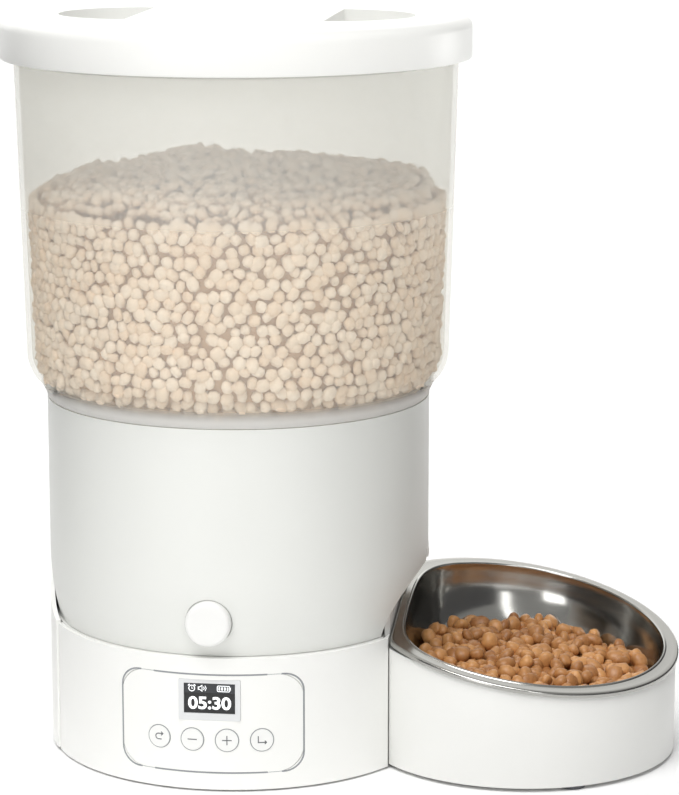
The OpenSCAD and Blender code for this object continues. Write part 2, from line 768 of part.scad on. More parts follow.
function cell_y(k) = cells_y + 0.5 + cell_pitch * (k + 0.5);

module battery_hole(gap, z0, z1)
    translate([-bay_w / 2 - gap, cells_y - gap, z0]) cube([bay_w + 2 * gap, bay_l + 2 * gap, z1 - z0]);

module battery_box() color(dark) at_tower() difference() {
    battery_hole(2, foot_h + pan_t, cell_z + cell_r + 3);
    battery_hole(0, 0, cell_z + cell_r + 1);
}

module batteries() color([0.2, 0.4, 0.35]) at_tower()
    for (k = [0:3]) translate([-cell_len / 2, cell_y(k), cell_z + 0.6]) rotate([0, 90, 0]) {
        cylinder(r = cell_r, h = cell_len - cell_tip);
        translate([0, 0, cell_len - cell_tip - eps]) cylinder(r = 2.6, h = cell_tip);
    }

module battery_contacts() color(steel) at_tower() for (s = [-1, 1], k = [0:3])
    translate([s * (cell_len / 2 + 1.4) - 1.2, cell_y(k) - 4, cell_z - 4]) cube([2.4, 8, 9]);

module battery_door() color(white) at_tower() {
    battery_hole(-0.2, foot_h, foot_h + pan_t - 0.4);
}

module usb_socket() color(steel) at_tower() translate([0, rear_in + 1.6, jack_z]) rotate([90, 0, 0]) {
    difference() {
        linear_extrude(9) rounded_square(9, 3.2, 1.4);
        translate([0, 0, -1]) linear_extrude(8.6) rounded_square(8.4, 2.6, 1.2);
    }
    translate([-3, -0.35, 1]) cube([6, 0.7, 7]);
}

// ---------------------------------------------------------------- bowl
bowl_points = 72;
flat_power = 10;

// Radius of the bowl's outline: a circle with the side toward the tower flattened
function bowl_radius(a, inset) =
    let (c = open_r - inset, f = (open_flat - inset) / max(-cos(a), 0.01))
    pow(pow(c, -flat_power) + pow(f, -flat_power), -1 / flat_power);

module bowl_slice(inset, z)
    translate([0, 0, z]) linear_extrude(0.01) polygon([for (k = [0:bowl_points - 1])
        let (a = k * 360 / bowl_points, r = bowl_radius(a, inset)) [r * cos(a), r * sin(a)]]);

// The dish, grown outward by t; top is how far its open side is raised
module dish(t, top = 0) hull() {
    bowl_slice(-t, top);
    bowl_slice(2.8 - t, -bowl_depth * 0.37);
    bowl_slice(8 - t, -bowl_depth * 0.68);
    bowl_slice(15 - t, -bowl_depth * 0.9);
    bowl_slice(25 - t, -bowl_depth - t);
}

lip_h = 2.4;

module flange_plan(r) intersection() {
    at_bowl() cylinder(r = r, h = big);
    at_tower() bowl_side(flange_x);
}

module bowl() color(steel) difference() {
    union() {
        intersection() {
            flange_plan(flange_r);
            on_rim() translate([-big / 2, -big / 2, -steel_t]) cube([big, big, steel_t]);
        }
        intersection() {
            difference() {
                flange_plan(flange_r);
                at_bowl() cylinder(r = flange_r - steel_t, h = big);
            }
            on_rim() translate([-big / 2, -big / 2, -lip_h]) cube([big, big, lip_h]);
        }
        on_rim() dish(steel_t, -eps);
    }
    on_rim() dish(0, 0.5);
}

stand_drop = lip_h + 0.5;
dip_z = rim_z - 2.3;
dip_slope = 7.4;

module bowl_stand() color(white) difference() {
    intersection() {
        at_bowl() translate([0, 0, foot_h]) cylinder(r = stand_r, h = big / 2);
        at_tower() bowl_side(stand_x);
        on_rim() translate([-big / 2, -big / 2, -big / 2 - stand_drop]) cube([big, big, big / 2]);
    }
    intersection() {
        at_bowl() translate([0, 0, foot_h + stand_wall]) cylinder(r = stand_r - stand_wall, h = big / 2);
        at_tower() bowl_side(stand_x + stand_wall - 0.4);
    }
    // the rim dips a little where its front edge meets the tower
    at_tower() translate([stand_x, -big - mouth_front + 10, dip_z]) rotate([0, dip_slope, 0])
        translate([-stand_r, 0, 0]) cube([3 * stand_r, big, big]);
}

foot_r = 7;
foot_place = 84;

module rubber_feet() color(rubber_grey) {
    at_tower() for (a = [45:90:315]) rotate([0, 0, a]) translate([foot_place, 0, 0])
        cylinder(r = foot_r, h = foot_h);
    at_bowl() for (a = [-65, 0, 65]) rotate([0, 0, a]) translate([stand_r - foot_r - 1, 0, 0])
        cylinder(r = foot_r, h = foot_h);
}

module case_screws() color(steel) at_tower() for (p = post_places) translate([p[0], p[1], 0]) {
    translate([0, 0, foot_h + head_sink - head_h]) cylinder(r = head_r - 0.2, h = head_h);
    translate([0, 0, foot_h + head_sink - eps])
        cylinder(r = screw_r, h = base_h - foot_h - head_sink - 1, $fn = 32);
}

lid();
lid_seal();
desiccant_holder();
desiccant_pack();
desiccant_cover();
hopper_tank();
hopper_housing();
funnel();
metering_chamber();
metering_cover();
feed_rotor();
stirrer();
release_knob();
knob_spring();
knob_guide();
knob_clip();
base_deck();
front_cover();
rear_shell();
base_pan();
outlet_hood();
chute();
shaft_bushing();
gearbox_case();
gear_motor();
motor_shaft();
motor_pinion();
drive_shaft();
drive_gear();
drive_dog();
control_panel();
display_bezel();
display_glass();
display_module();
key_back();
key_minus();
key_plus();
key_enter();
tact_switches();
control_board();
speaker();
battery_box();
batteries();
battery_contacts();
battery_door();
usb_socket();
bowl_stand();
bowl();
rubber_feet();
case_screws();
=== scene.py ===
"""Looks of an automatic pet feeder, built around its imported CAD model.

A frosted tank of kibble stands on a round housing and a base with a keypad, and a
tilted steel bowl sits in a stand beside it. Lengths are metres, +Z is up, the keypad
faces -Y and the bowl lies toward +X.
"""

from __future__ import annotations

import logging
import math
import random
from collections.abc import Callable, Sequence
from dataclasses import dataclass
from enum import Enum

import bmesh
import bpy
from mathutils import Euler, Matrix, Vector


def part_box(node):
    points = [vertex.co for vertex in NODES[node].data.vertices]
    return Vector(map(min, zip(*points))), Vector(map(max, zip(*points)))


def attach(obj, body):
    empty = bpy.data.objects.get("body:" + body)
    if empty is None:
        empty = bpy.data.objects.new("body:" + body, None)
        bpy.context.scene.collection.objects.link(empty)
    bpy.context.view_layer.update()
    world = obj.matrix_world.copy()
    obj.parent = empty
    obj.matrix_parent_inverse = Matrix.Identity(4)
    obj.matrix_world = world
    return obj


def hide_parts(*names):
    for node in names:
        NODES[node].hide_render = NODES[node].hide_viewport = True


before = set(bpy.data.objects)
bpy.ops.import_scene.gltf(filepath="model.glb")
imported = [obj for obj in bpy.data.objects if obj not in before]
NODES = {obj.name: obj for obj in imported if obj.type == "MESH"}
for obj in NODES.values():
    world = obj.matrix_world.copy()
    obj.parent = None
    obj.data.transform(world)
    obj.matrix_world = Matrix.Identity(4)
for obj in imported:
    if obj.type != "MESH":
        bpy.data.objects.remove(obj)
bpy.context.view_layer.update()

LOG = logging.getLogger("feeder")
MM = 0.001

Point = tuple[float, float]
Place = tuple[float, float, float]
Lay = Callable[[float, float, float], Place]
Spots = list[tuple[Vector, Vector]]
Piece = bpy.types.Object
Socket = bpy.types.NodeSocket
Tree = bpy.types.NodeTree

WELD_GAP = 1e-6
FILLET_REACH = 0.49
BEVEL_FACES = 3
ARC_STEPS = 12


# ------------------------------------------------------------------ modelling moves
class Cut(Enum):
    """How one solid changes another."""

    REMOVE = "DIFFERENCE"
    JOIN = "UNION"


def clear() -> None:
    """Leave edit mode and deselect everything."""
    if bpy.context.object and bpy.context.object.mode != "OBJECT":
        bpy.ops.object.mode_set(mode="OBJECT")
    bpy.ops.object.select_all(action="DESELECT")


def pick(obj: Piece) -> None:
    """Make an object the only selected one, and active.

    Args:
        obj: The object to work on.
    """
    clear()
    obj.select_set(True)
    bpy.context.view_layer.objects.active = obj


def set_down() -> None:
    """Put the selected piece's place, turn and scale into its mesh."""
    bpy.ops.object.transform_apply(location=True, rotation=True, scale=True)


def stand(name: str, data: bpy.types.ID) -> Piece:
    """Put a mesh, a light or a camera in the scene.

    Args:
        name: The object's name.
        data: What it holds.

    Returns:
        The object.
    """
    obj = bpy.data.objects.new(name, data)
    bpy.context.scene.collection.objects.link(obj)
    return obj


def settle(obj: Piece, name: str, smooth_deg: float = 38.0) -> Piece:
    """Close a piece off: its place goes into its mesh, and its faces point outward.

    Args:
        obj: The piece.
        name: Its final name.
        smooth_deg: Edges that bend less than this are shaded smooth.

    Returns:
        The same piece.
    """
    pick(obj)
    set_down()
    bpy.ops.object.mode_set(mode="EDIT")
    bpy.ops.mesh.select_all(action="SELECT")
    bpy.ops.mesh.remove_doubles(threshold=WELD_GAP)
    bpy.ops.mesh.normals_make_consistent(inside=False)
    bpy.ops.object.mode_set(mode="OBJECT")
    bpy.ops.object.shade_smooth_by_angle(angle=math.radians(smooth_deg))
    obj.name = name
    obj.data.name = name
    return obj


def rounded(corners: Sequence[Place], closed: bool, steps: int = 4) -> list[Point]:
    """Round the corners of an outline.

    Args:
        corners: Each corner's two places and its fillet's radius, in metres.
        closed: Whether the last corner joins the first.
        steps: Segments in each fillet.

    Returns:
        The outline's points.
    """
    made: list[Point] = []
    count = len(corners)
    for i, (x, y, radius) in enumerate(corners):
        here = Vector((x, y))
        if radius <= 0 or (not closed and i in (0, count - 1)):
            made.append((x, y))
            continue
        before = Vector(corners[i - 1][:2]) - here
        after = Vector(corners[(i + 1) % count][:2]) - here
        half = before.angle(after) / 2
        reach = min(radius / math.tan(half), before.length * FILLET_REACH,
                    after.length * FILLET_REACH)
        start, end = before.normalized() * reach, after.normalized() * reach
        turn = reach * math.tan(half)
        middle = (start + end).normalized() * (turn / math.sin(half))
        a, b = start - middle, end - middle
        sweep = a.angle_signed(b)
        for k in range(steps + 1):
            angle = -sweep * k / steps
            spoke = Matrix.Rotation(angle, 2) @ a
            made.append(tuple(here + middle + spoke))
    return made


def start_ring(steps: int, radius: float, place: Place, fill: str = "NOTHING") -> Piece:
    """Add a ring and open it in edit mode, with its edges selected.

    Args:
        steps: Vertices in the ring.
        radius: Its radius.
        place: Its middle.
        fill: How it is filled, as the circle operator calls it.

    Returns:
        The ring.
    """
    clear()
    bpy.ops.mesh.primitive_circle_add(vertices=steps, radius=radius, location=place,
                                      fill_type=fill)
    bpy.ops.object.mode_set(mode="EDIT")
    bpy.ops.mesh.select_mode(type="EDGE")
    bpy.ops.mesh.select_all(action="SELECT")
    return bpy.context.object


def lathe(name: str, axis: Point, outline: Sequence[Point], steps: int,
          closed: bool = False) -> Piece:
    """Turn an outline about a vertical axis by walking a ring along it.

    Args:
        name: The piece's name.
        axis: The axis's place on the floor.
        outline: Radius and height of each ring.
        steps: Vertices in each ring.
        closed: Whether the last ring joins the first. Otherwise both ends are capped.

    Returns:
        The turned piece.
    """
    rings = [*outline, outline[0]] if closed else list(outline)
    r, z = rings[0]
    obj = start_ring(steps, r, (*axis, z), "NOTHING" if closed else "NGON")
    for radius, height in rings[1:]:
        bpy.ops.mesh.extrude_edges_move(TRANSFORM_OT_translate={"value": (0, 0, height - z)})
        share = radius / r
        bpy.ops.transform.resize(value=(share, share, 1), center_override=(*axis, height))
        r, z = radius, height
    if not closed:
        bpy.ops.mesh.edge_face_add()
    return settle(obj, name)


def push_out(obj: Piece, name: str, low: float, high: float, lay: Lay) -> Piece:
    """Push a sheet out into a solid.

    Args:
        obj: The sheet, in object mode.
        name: The piece's name.
        low: Depth of the sheet.
        high: Depth of the solid's other face.
        lay: Places a point of the sheet and a depth in the feeder's frame.

    Returns:
        The solid.
    """
    push = Vector(lay(0, 0, high)) - Vector(lay(0, 0, low))
    bpy.ops.object.mode_set(mode="EDIT")
    bpy.ops.mesh.select_all(action="SELECT")
    bpy.ops.mesh.extrude_region_move(TRANSFORM_OT_translate={"value": tuple(push)})
    return settle(obj, name)


def prism(name: str, outline: Sequence[Point], low: float, high: float, lay: Lay) -> Piece:
    """Push a flat outline out into a solid.

    Args:
        name: The piece's name.
        outline: The outline's points, in its own plane.
        low: Where the solid starts along the push.
        high: Where it ends.
        lay: Places an outline point and a depth in the feeder's frame.

    Returns:
        The solid.
    """
    clear()
    bpy.ops.mesh.primitive_circle_add(vertices=len(outline), radius=1, fill_type="NGON")
    obj = bpy.context.object
    for vertex, (u, v) in zip(obj.data.vertices, outline):
        vertex.co = lay(u, v, low)
    return push_out(obj, name, low, high, lay)


def apply_all(obj: Piece) -> None:
    """Apply every modifier of a piece.

    Args:
        obj: The piece.
    """
    pick(obj)
    for modifier in list(obj.modifiers):
        bpy.ops.object.modifier_apply(modifier=modifier.name)


def combine(target: Piece, tool: Piece, how: Cut) -> None:
    """Change one solid by another, which is used up.

    Args:
        target: The solid that stays.
        tool: The solid that cuts it or joins it.
        how: What the tool does.
    """
    change = target.modifiers.new("combine", "BOOLEAN")
    change.operation, change.object, change.solver = how.value, tool, "EXACT"
    apply_all(target)
    bpy.data.objects.remove(tool)


def soften(obj: Piece, width: float, angle_deg: float = 50.0) -> bpy.types.Modifier:
    """Round a piece's sharp edges with a modifier.

    Args:
        obj: The piece.
        width: The rounding's width.
        angle_deg: Edges that bend more than this are rounded.

    Returns:
        The modifier.
    """
    edge = obj.modifiers.new("mould_radius", "BEVEL")
    edge.width, edge.segments = width, BEVEL_FACES
    edge.limit_method, edge.angle_limit = "ANGLE", math.radians(angle_deg)
    return edge


# ------------------------------------------------------------------ finishes
def linear(code: str) -> tuple[float, float, float, float]:
    """Turn an sRGB hex colour to linear light.

    Args:
        code: Six hex digits after a hash.

    Returns:
        Red, green, blue and a full alpha.
    """
    parts = [int(code[i:i + 2], 16) / 255 for i in (1, 3, 5)]
    red, green, blue = (p / 12.92 if p <= 0.04045 else ((p + 0.055) / 1.055) ** 2.4 for p in parts)
    return red, green, blue, 1.0


def add_node(tree: Tree, kind: str, settings: dict | None = None,
             links: dict | None = None) -> bpy.types.Node:
    """Add one shader node.

    Args:
        tree: The node tree.
        kind: The node's type, without its ShaderNode prefix.
        settings: Properties and socket values, by property name, socket name or number.
        links: Output sockets to link in, by input socket name or number.

    Returns:
        The new node.
    """
    made = tree.nodes.new("ShaderNode" + kind)
    for key, value in (settings or {}).items():
        if isinstance(key, str) and key in made.bl_rna.properties:
            setattr(made, key, value)
        else:
            made.inputs[key].default_value = value
    for key, source in (links or {}).items():
        tree.links.new(source, made.inputs[key])
    return made


@dataclass(frozen=True)
class Finish:
    """A moulded or machined surface with a fine grain and a slight drift of tone.

    Real grain is finer than a render shows, so grain_mm is as coarse as it needs to be.
    """

    name: str
    colour: str
    roughness: float
    metallic: float = 0.0
    ior: float = 1.5
    grain_mm: float = 0.9
    depth_mm: float = 0.02
    bump: float = 0.35
    drift: float = 0.03
    drift_mm: float = 45.0
    wander: float = 0.05
    coat: float = 0.0

    def start(self) -> tuple[bpy.types.Material, Tree, Socket]:
        """Begin a material.

        Returns:
            The material, its emptied node tree, and object coordinates in metres.
        """
        material = bpy.data.materials.new(self.name)
        material.use_nodes = True
        tree = material.node_tree
        tree.nodes.clear()
        return material, tree, add_node(tree, "TexCoord").outputs["Object"]

    def tone(self, tree: Tree, place: Socket) -> Socket:
        """Colour that drifts slowly over the surface.

        Args:
            tree: The material's tree.
            place: Coordinates in metres.

        Returns:
            The colour's socket.
        """
        cloud = add_node(tree, "TexNoise", {"Scale": 1 / (self.drift_mm * MM), "Detail": 3.0},
                         {"Vector": place})
        shade = tuple(c * (1 - self.drift) for c in linear(self.colour)[:3]) + (1.0,)
        return add_node(tree, "Mix", {"data_type": "RGBA", 6: shade, 7: linear(self.colour)},
                        {0: cloud.outputs["Fac"]}).outputs[2]

    def relief(self, tree: Tree, place: Socket) -> tuple[Socket, Socket]:
        """Fine grain, as a surface normal and as roughness.

        Args:
            tree: The material's tree.
            place: Coordinates in metres.

        Returns:
            The normal's and the roughness's sockets.
        """
        grain = add_node(tree, "TexNoise", {"Scale": 1 / (self.grain_mm * MM), "Detail": 2.0},
                         {"Vector": place})
        bump = add_node(tree, "Bump", {"Strength": self.bump, "Distance": self.depth_mm * MM},
                        {"Height": grain.outputs["Fac"]})
        rough = add_node(tree, "MapRange",
                         {"To Min": self.roughness - self.wander,
                          "To Max": self.roughness + self.wander},
                         {"Value": grain.outputs["Fac"]})
        return bump.outputs["Normal"], rough.outputs["Result"]

    def shader(self, tree: Tree, place: Socket) -> bpy.types.Node:
        """The surface's own shader.

        Args:
            tree: The material's tree.
            place: Coordinates in metres.

        Returns:
            A Principled node.
        """
        normal, rough = self.relief(tree, place)
        return add_node(tree, "BsdfPrincipled",
                        {"Metallic": self.metallic, "IOR": self.ior, "Coat Weight": self.coat},
                        {"Base Color": self.tone(tree, place), "Roughness": rough,
                         "Normal": normal})

    def build(self) -> bpy.types.Material:
        """Make the material.

        Returns:
            The finished material.
        """
        material, tree, place = self.start()
        surface = self.shader(tree, place)
        add_node(tree, "OutputMaterial", {}, {"Surface": surface.outputs[0]})
        return material


@dataclass(frozen=True)
class Lit(Finish):
    """A lit display segment, which gives off a little light of its own."""

    power: float = 1.0

    def shader(self, tree: Tree, place: Socket) -> bpy.types.Node:
        """The segment's shader.

        Args:
            tree: The material's tree.
            place: Coordinates in metres.

        Returns:
            A Principled node with emission.
        """
        made = super().shader(tree, place)
        made.inputs["Emission Color"].default_value = linear(self.colour)
        made.inputs["Emission Strength"].default_value = self.power
        return made


@dataclass(frozen=True)
class Frosted(Finish):
    """A frosted wall, which dims what is behind it, most of all at its thick foot."""

    clear: float = 0.8
    milk: float = 0.36
    veil: str = "#fcfcfa"
    thick_z: float = 196 * MM
    thin_z: float = 203 * MM
    thick_share: float = 0.1
    haze_z: float = 268 * MM
    haze_rise: float = 52 * MM
    haze_share: float = 0.88

    def build(self) -> bpy.types.Material:
        """Make the material.

        Returns:
            The finished material.
        """
        material, tree, place = self.start()
        surface = self.shader(tree, place)
        through = add_node(tree, "BsdfTransparent", {"Color": linear(self.veil)})
        glow = add_node(tree, "BsdfTranslucent", {"Color": linear(self.colour)})
        body = add_node(tree, "MixShader", {0: self.milk},
                        {1: surface.outputs[0], 2: glow.outputs[0]})
        height = add_node(tree, "SeparateXYZ", {}, {0: place}).outputs[2]
        foot = add_node(tree, "MapRange",
                        {"interpolation_type": "SMOOTHSTEP", "From Min": self.thick_z,
                         "From Max": self.thin_z, "To Min": self.clear * self.thick_share,
                         "To Max": self.clear}, {"Value": height})
        upper = add_node(tree, "MapRange",
                         {"interpolation_type": "SMOOTHSTEP", "From Min": self.haze_z,
                          "From Max": self.haze_z + self.haze_rise, "To Min": 1.0,
                          "To Max": self.haze_share}, {"Value": height})
        both = add_node(tree, "Math", {"operation": "MULTIPLY"},
                        {0: foot.outputs[0], 1: upper.outputs[0]})
        mixed = add_node(tree, "MixShader", {},
                         {0: both.outputs[0], 1: body.outputs[0], 2: through.outputs[0]})
        add_node(tree, "OutputMaterial", {}, {"Surface": mixed.outputs[0]})
        return material


@dataclass(frozen=True)
class SpunSteel(Finish):
    """Spun stainless steel: fine polishing rings about the bowl's axis."""

    bump: float = 0.25
    axis: Point = (0.0, 0.0)
    ring_mm: float = 0.6
    smear_mm: float = 28.0

    def relief(self, tree: Tree, place: Socket) -> tuple[Socket, Socket]:
        """Polishing rings, as a surface normal and as roughness.

        Args:
            tree: The material's tree.
            place: Coordinates in metres.

        Returns:
            The normal's and the roughness's sockets.
        """
        centred = add_node(tree, "Mapping", {"Location": (-self.axis[0], -self.axis[1], 0.0)},
                           {"Vector": place})
        parts = add_node(tree, "SeparateXYZ", {}, {0: centred.outputs[0]})
        flat = add_node(tree, "CombineXYZ", {}, {0: parts.outputs[0], 1: parts.outputs[1]})
        out = add_node(tree, "VectorMath", {"operation": "LENGTH"}, {0: flat.outputs[0]})
        ring = add_node(tree, "CombineXYZ", {}, {0: out.outputs["Value"], 2: parts.outputs[2]})
        lines = add_node(tree, "TexNoise", {"Scale": 1 / (self.ring_mm * MM), "Detail": 2.0},
                         {"Vector": ring.outputs[0]})
        smear = add_node(tree, "TexNoise", {"Scale": 1 / (self.smear_mm * MM), "Detail": 3.0},
                         {"Vector": place})
        bump = add_node(tree, "Bump", {"Strength": self.bump, "Distance": self.depth_mm * MM},
                        {"Height": lines.outputs["Fac"]})
        mixed = add_node(tree, "Math", {"operation": "ADD"},
                         {0: lines.outputs["Fac"], 1: smear.outputs["Fac"]})
        # The two noises add up to between 0.6 and 1.4
        rough = add_node(tree, "MapRange",
                         {"From Min": 0.6, "From Max": 1.4,
                          "To Min": self.roughness - self.wander,
                          "To Max": self.roughness + self.wander},
                         {"Value": mixed.outputs[0]})
        return bump.outputs["Normal"], rough.outputs["Result"]


@dataclass(frozen=True)
class Baked(Finish):
    """Baked kibble: each piece has its own tone, with a pitted, faintly oily crust."""

    dark: str = "#6b3a1a"
    pits_mm: float = 2.2
    own_share: float = 0.55
    pit_share: float = 0.6

    def tone(self, tree: Tree, place: Socket) -> Socket:
        """Each piece's own tone, darker in its pits.

        Args:
            tree: The material's tree.
            place: Coordinates in metres.

        Returns:
            The colour's socket.
        """
        own = add_node(tree, "Attribute", {"attribute_name": "tone"})
        pits = add_node(tree, "TexNoise", {"Scale": 1 / (self.pits_mm * MM), "Detail": 4.0},
                        {"Vector": place})
        share = add_node(tree, "Math", {"operation": "MULTIPLY_ADD", 1: self.own_share,
                                       2: 0.0},
                         {0: own.outputs["Fac"]})
        mixed = add_node(tree, "Math", {"operation": "MULTIPLY_ADD", 1: self.pit_share},
                         {0: pits.outputs["Fac"], 2: share.outputs[0]})
        return add_node(tree, "Mix",
                        {"data_type": "RGBA", 6: linear(self.dark), 7: linear(self.colour)},
                        {0: mixed.outputs[0]}).outputs[2]


TOWER: Point = ((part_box("lid")[0].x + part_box("lid")[1].x) / 2, 0.0)
BOWL_REACH = 154.5 * MM
BOWL: Point = (TOWER[0] + BOWL_REACH, 0.0)

# ABS from a lightly etched mould: slightly warm white, with wide soft highlights
WHITE = Finish("abs_satin_white", "#f3f3f0", 0.36, grain_mm=0.8, depth_mm=0.01)
# The same moulding, greyer and duller, which sets the housing off from the lid
SHADE = Finish("abs_satin_shade", "#e7e8e4", 0.4, grain_mm=0.8, depth_mm=0.01)
# The same moulding on the stand, painted a little darker under the bright steel: painted shade,
# since the stand faces the light full on
STAND_PAINTED_SHADE = Finish("abs_satin_stand_painted_shade", "#e6e6e3", 0.36, grain_mm=0.8, depth_mm=0.01)
# ABS from a polished mould: small bright highlights on the knob and the keys
GLOSS = Finish("abs_polished_white", "#efefed", 0.2, grain_mm=2.5, depth_mm=0.006, wander=0.03)
# Blow-moulded polypropylene, frosted: a milky wall with a soft sheen
TANK = Frosted("polypropylene_frosted", "#fafaf8", 0.42, grain_mm=1.4, depth_mm=0.02)
# Spun and polished stainless steel: reflections drawn out along fine rings
STEEL = SpunSteel("stainless_spun", "#b2b1ad", 0.16, metallic=1.0, depth_mm=0.004, axis=BOWL)
# Moulded rubber: dull dark grey
RUBBER = Finish("rubber_moulded_grey", "#55565a", 0.75, grain_mm=0.6, depth_mm=0.03)
# Non-woven pouch paper: matt, with a fibrous grain
POUCH = Finish("desiccant_paper", "#ddd8ca", 0.8, grain_mm=0.5, depth_mm=0.05)
# Moulded polypropylene without pigment: waxy grey-white
ROTOR = Finish("polypropylene_natural", "#d9d9d4", 0.45)
# Drawn spring steel, and steel plated like it: thin hard highlights
WIRE = Finish("spring_steel_drawn", "#b8b8ba", 0.28, metallic=1.0, grain_mm=0.4, depth_mm=0.004)
# Cut brass: warm yellow metal
BRASS = Finish("brass_cut", "#c8a65a", 0.3, metallic=1.0, grain_mm=0.4, depth_mm=0.004)
# Black moulded ABS: nearly black and half matt
DARK = Finish("abs_black_moulded", "#232426", 0.55, grain_mm=0.6)
# Zinc-plated steel: cool grey metal
CAN = Finish("zinc_plated_can", "#a9abb0", 0.32, metallic=1.0, grain_mm=0.6, depth_mm=0.005)
# Moulded acetal: ivory and waxy
ACETAL = Finish("acetal_moulded", "#ece9dc", 0.4)
# Polished acrylic: a smooth light grey rim with sharp reflections
BEZEL = Finish("acrylic_grey_rim", "#dedfe0", 0.22, grain_mm=3.0, depth_mm=0.004, wander=0.03)
# Display glass: deep black with a clear gloss over it
SCREEN = Finish("display_glass_black", "#101114", 0.12, grain_mm=6.0, depth_mm=0.002, wander=0.02,
                coat=0.3)
# Circuit board under solder mask: mottled green
BOARD = Finish("circuit_board_green", "#14512f", 0.35, grain_mm=1.2, drift=0.2, drift_mm=4.0)
# Shrunk wrap film on the cells: smooth blue-green, uneven in tone
CELL = Finish("cell_wrap_film", "#3a6a5e", 0.28, grain_mm=2.0, drift=0.15)
# Painted shade: a grey line in the gaps round the keypad and round the keys, where the gaps'
# shadow falls
GAP_SHADE = Finish("painted_gap_shade", "#8e9194", 0.5, grain_mm=0.6)
# Pad-printed ink: flat dark grey
INK = Finish("printed_ink_grey", "#66686b", 0.5, grain_mm=0.5)
# Printed film: a dark grey band behind the symbols
BAND = Finish("display_band", "#34363a", 0.3, grain_mm=2.0)
# Lit segments: white that glows a little
LIT = Lit("display_lit_white", "#f4f6f8", 0.35, power=0.55)
# Baked kibble: tan, darker in its pits, with a faintly oily shine
KIBBLE = Baked("kibble_baked", "#dda468", 0.38, grain_mm=0.7, depth_mm=0.16, dark="#7d461d")
# The same kibble behind the frosted wall, matt and painted pale: painted light for the light that
# the wall scatters over it
STORED_PAINTED_LIGHT = Baked("kibble_pale", "#fff1e1", 0.6, grain_mm=0.7, depth_mm=0.1, dark="#efd0b0")
# Painted shade: the kibble behind that, coloured darker, so that the gaps between pieces show as
# shade and depth
DEEP_PAINTED_SHADE = Baked("kibble_shadowed", "#dcbb98", 0.8, grain_mm=0.7, depth_mm=0.1, dark="#bb956c")

FINISHES: dict[Finish, tuple[str, ...]] = {
    WHITE: ("lid", "desiccant_holder", "base_deck", "front_cover", "rear_shell", "base_pan",
            "outlet_hood", "battery_door", "control_panel"),
    STAND_PAINTED_SHADE: ("bowl_stand",),
    SHADE: ("desiccant_cover", "hopper_housing", "funnel", "metering_chamber", "metering_cover",
            "knob_guide", "chute"),
    GLOSS: ("release_knob", "key_back", "key_minus", "key_plus", "key_enter"),
    TANK: ("hopper_tank",),
    STEEL: ("bowl",),
    RUBBER: ("lid_seal", "stirrer", "rubber_feet"),
    POUCH: ("desiccant_pack",),
    ROTOR: ("feed_rotor",),
    WIRE: ("knob_spring", "knob_clip", "motor_shaft", "drive_shaft", "battery_contacts",
           "usb_socket", "case_screws"),
    BRASS: ("shaft_bushing", "motor_pinion"),
    DARK: ("gearbox_case", "display_module", "tact_switches", "speaker", "battery_box"),
    CAN: ("gear_motor",),
    ACETAL: ("drive_gear", "drive_dog"),
    BEZEL: ("display_bezel",),
    SCREEN: ("display_glass",),
    BOARD: ("control_board",),
    CELL: ("batteries",),
}


class Wardrobe:
    """Builds each finish once and puts it on pieces."""

    def __init__(self) -> None:
        """Start with no material made."""
        self.made: dict[str, bpy.types.Material] = {}

    def dress(self, obj: Piece, finish: Finish) -> Piece:
        """Give a piece one finish all over.

        Args:
            obj: The piece.
            finish: Its finish.

        Returns:
            The same piece.
        """
        if finish.name not in self.made:
            self.made[finish.name] = finish.build()
        if not obj.material_slots:
            obj.data.materials.append(self.made[finish.name])
        for slot in obj.material_slots:
            slot.material = self.made[finish.name]
        return obj

    def dress_nodes(self) -> None:
        """Give every CAD node its finish."""
        for finish, names in FINISHES.items():
            for name in names:
                self.dress(NODES[name], finish)


@dataclass
class Assembly:
    """A sub-assembly, whose pieces are dressed and attached to their bodies alike."""

    wardrobe: Wardrobe

    def hand_in(self, obj: Piece, finish: Finish, body: str, slot: str = "",
                *nodes: str) -> None:
        """Dress a finished piece, and let it ride on its body and stand for its CAD nodes.

        Args:
            obj: The piece.
            finish: Its finish.
            body: The CAD body that carries it.
            slot: The record's material slot, which is not used. Kibble is in none.
            *nodes: The CAD nodes that it replaces.
        """
        self.wardrobe.dress(obj, finish)
        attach(obj, body)
        if nodes:
            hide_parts(*nodes)
        LOG.info("%s rides on %s with %d faces", obj.name, body, len(obj.data.polygons))


# ------------------------------------------------------------------ kibble
KIBBLE_FORMS = ((1.0, 0.72), (0.86, 0.66), (1.16, 0.62), (0.94, 0.8), (1.28, 0.7), (0.8, 0.76))


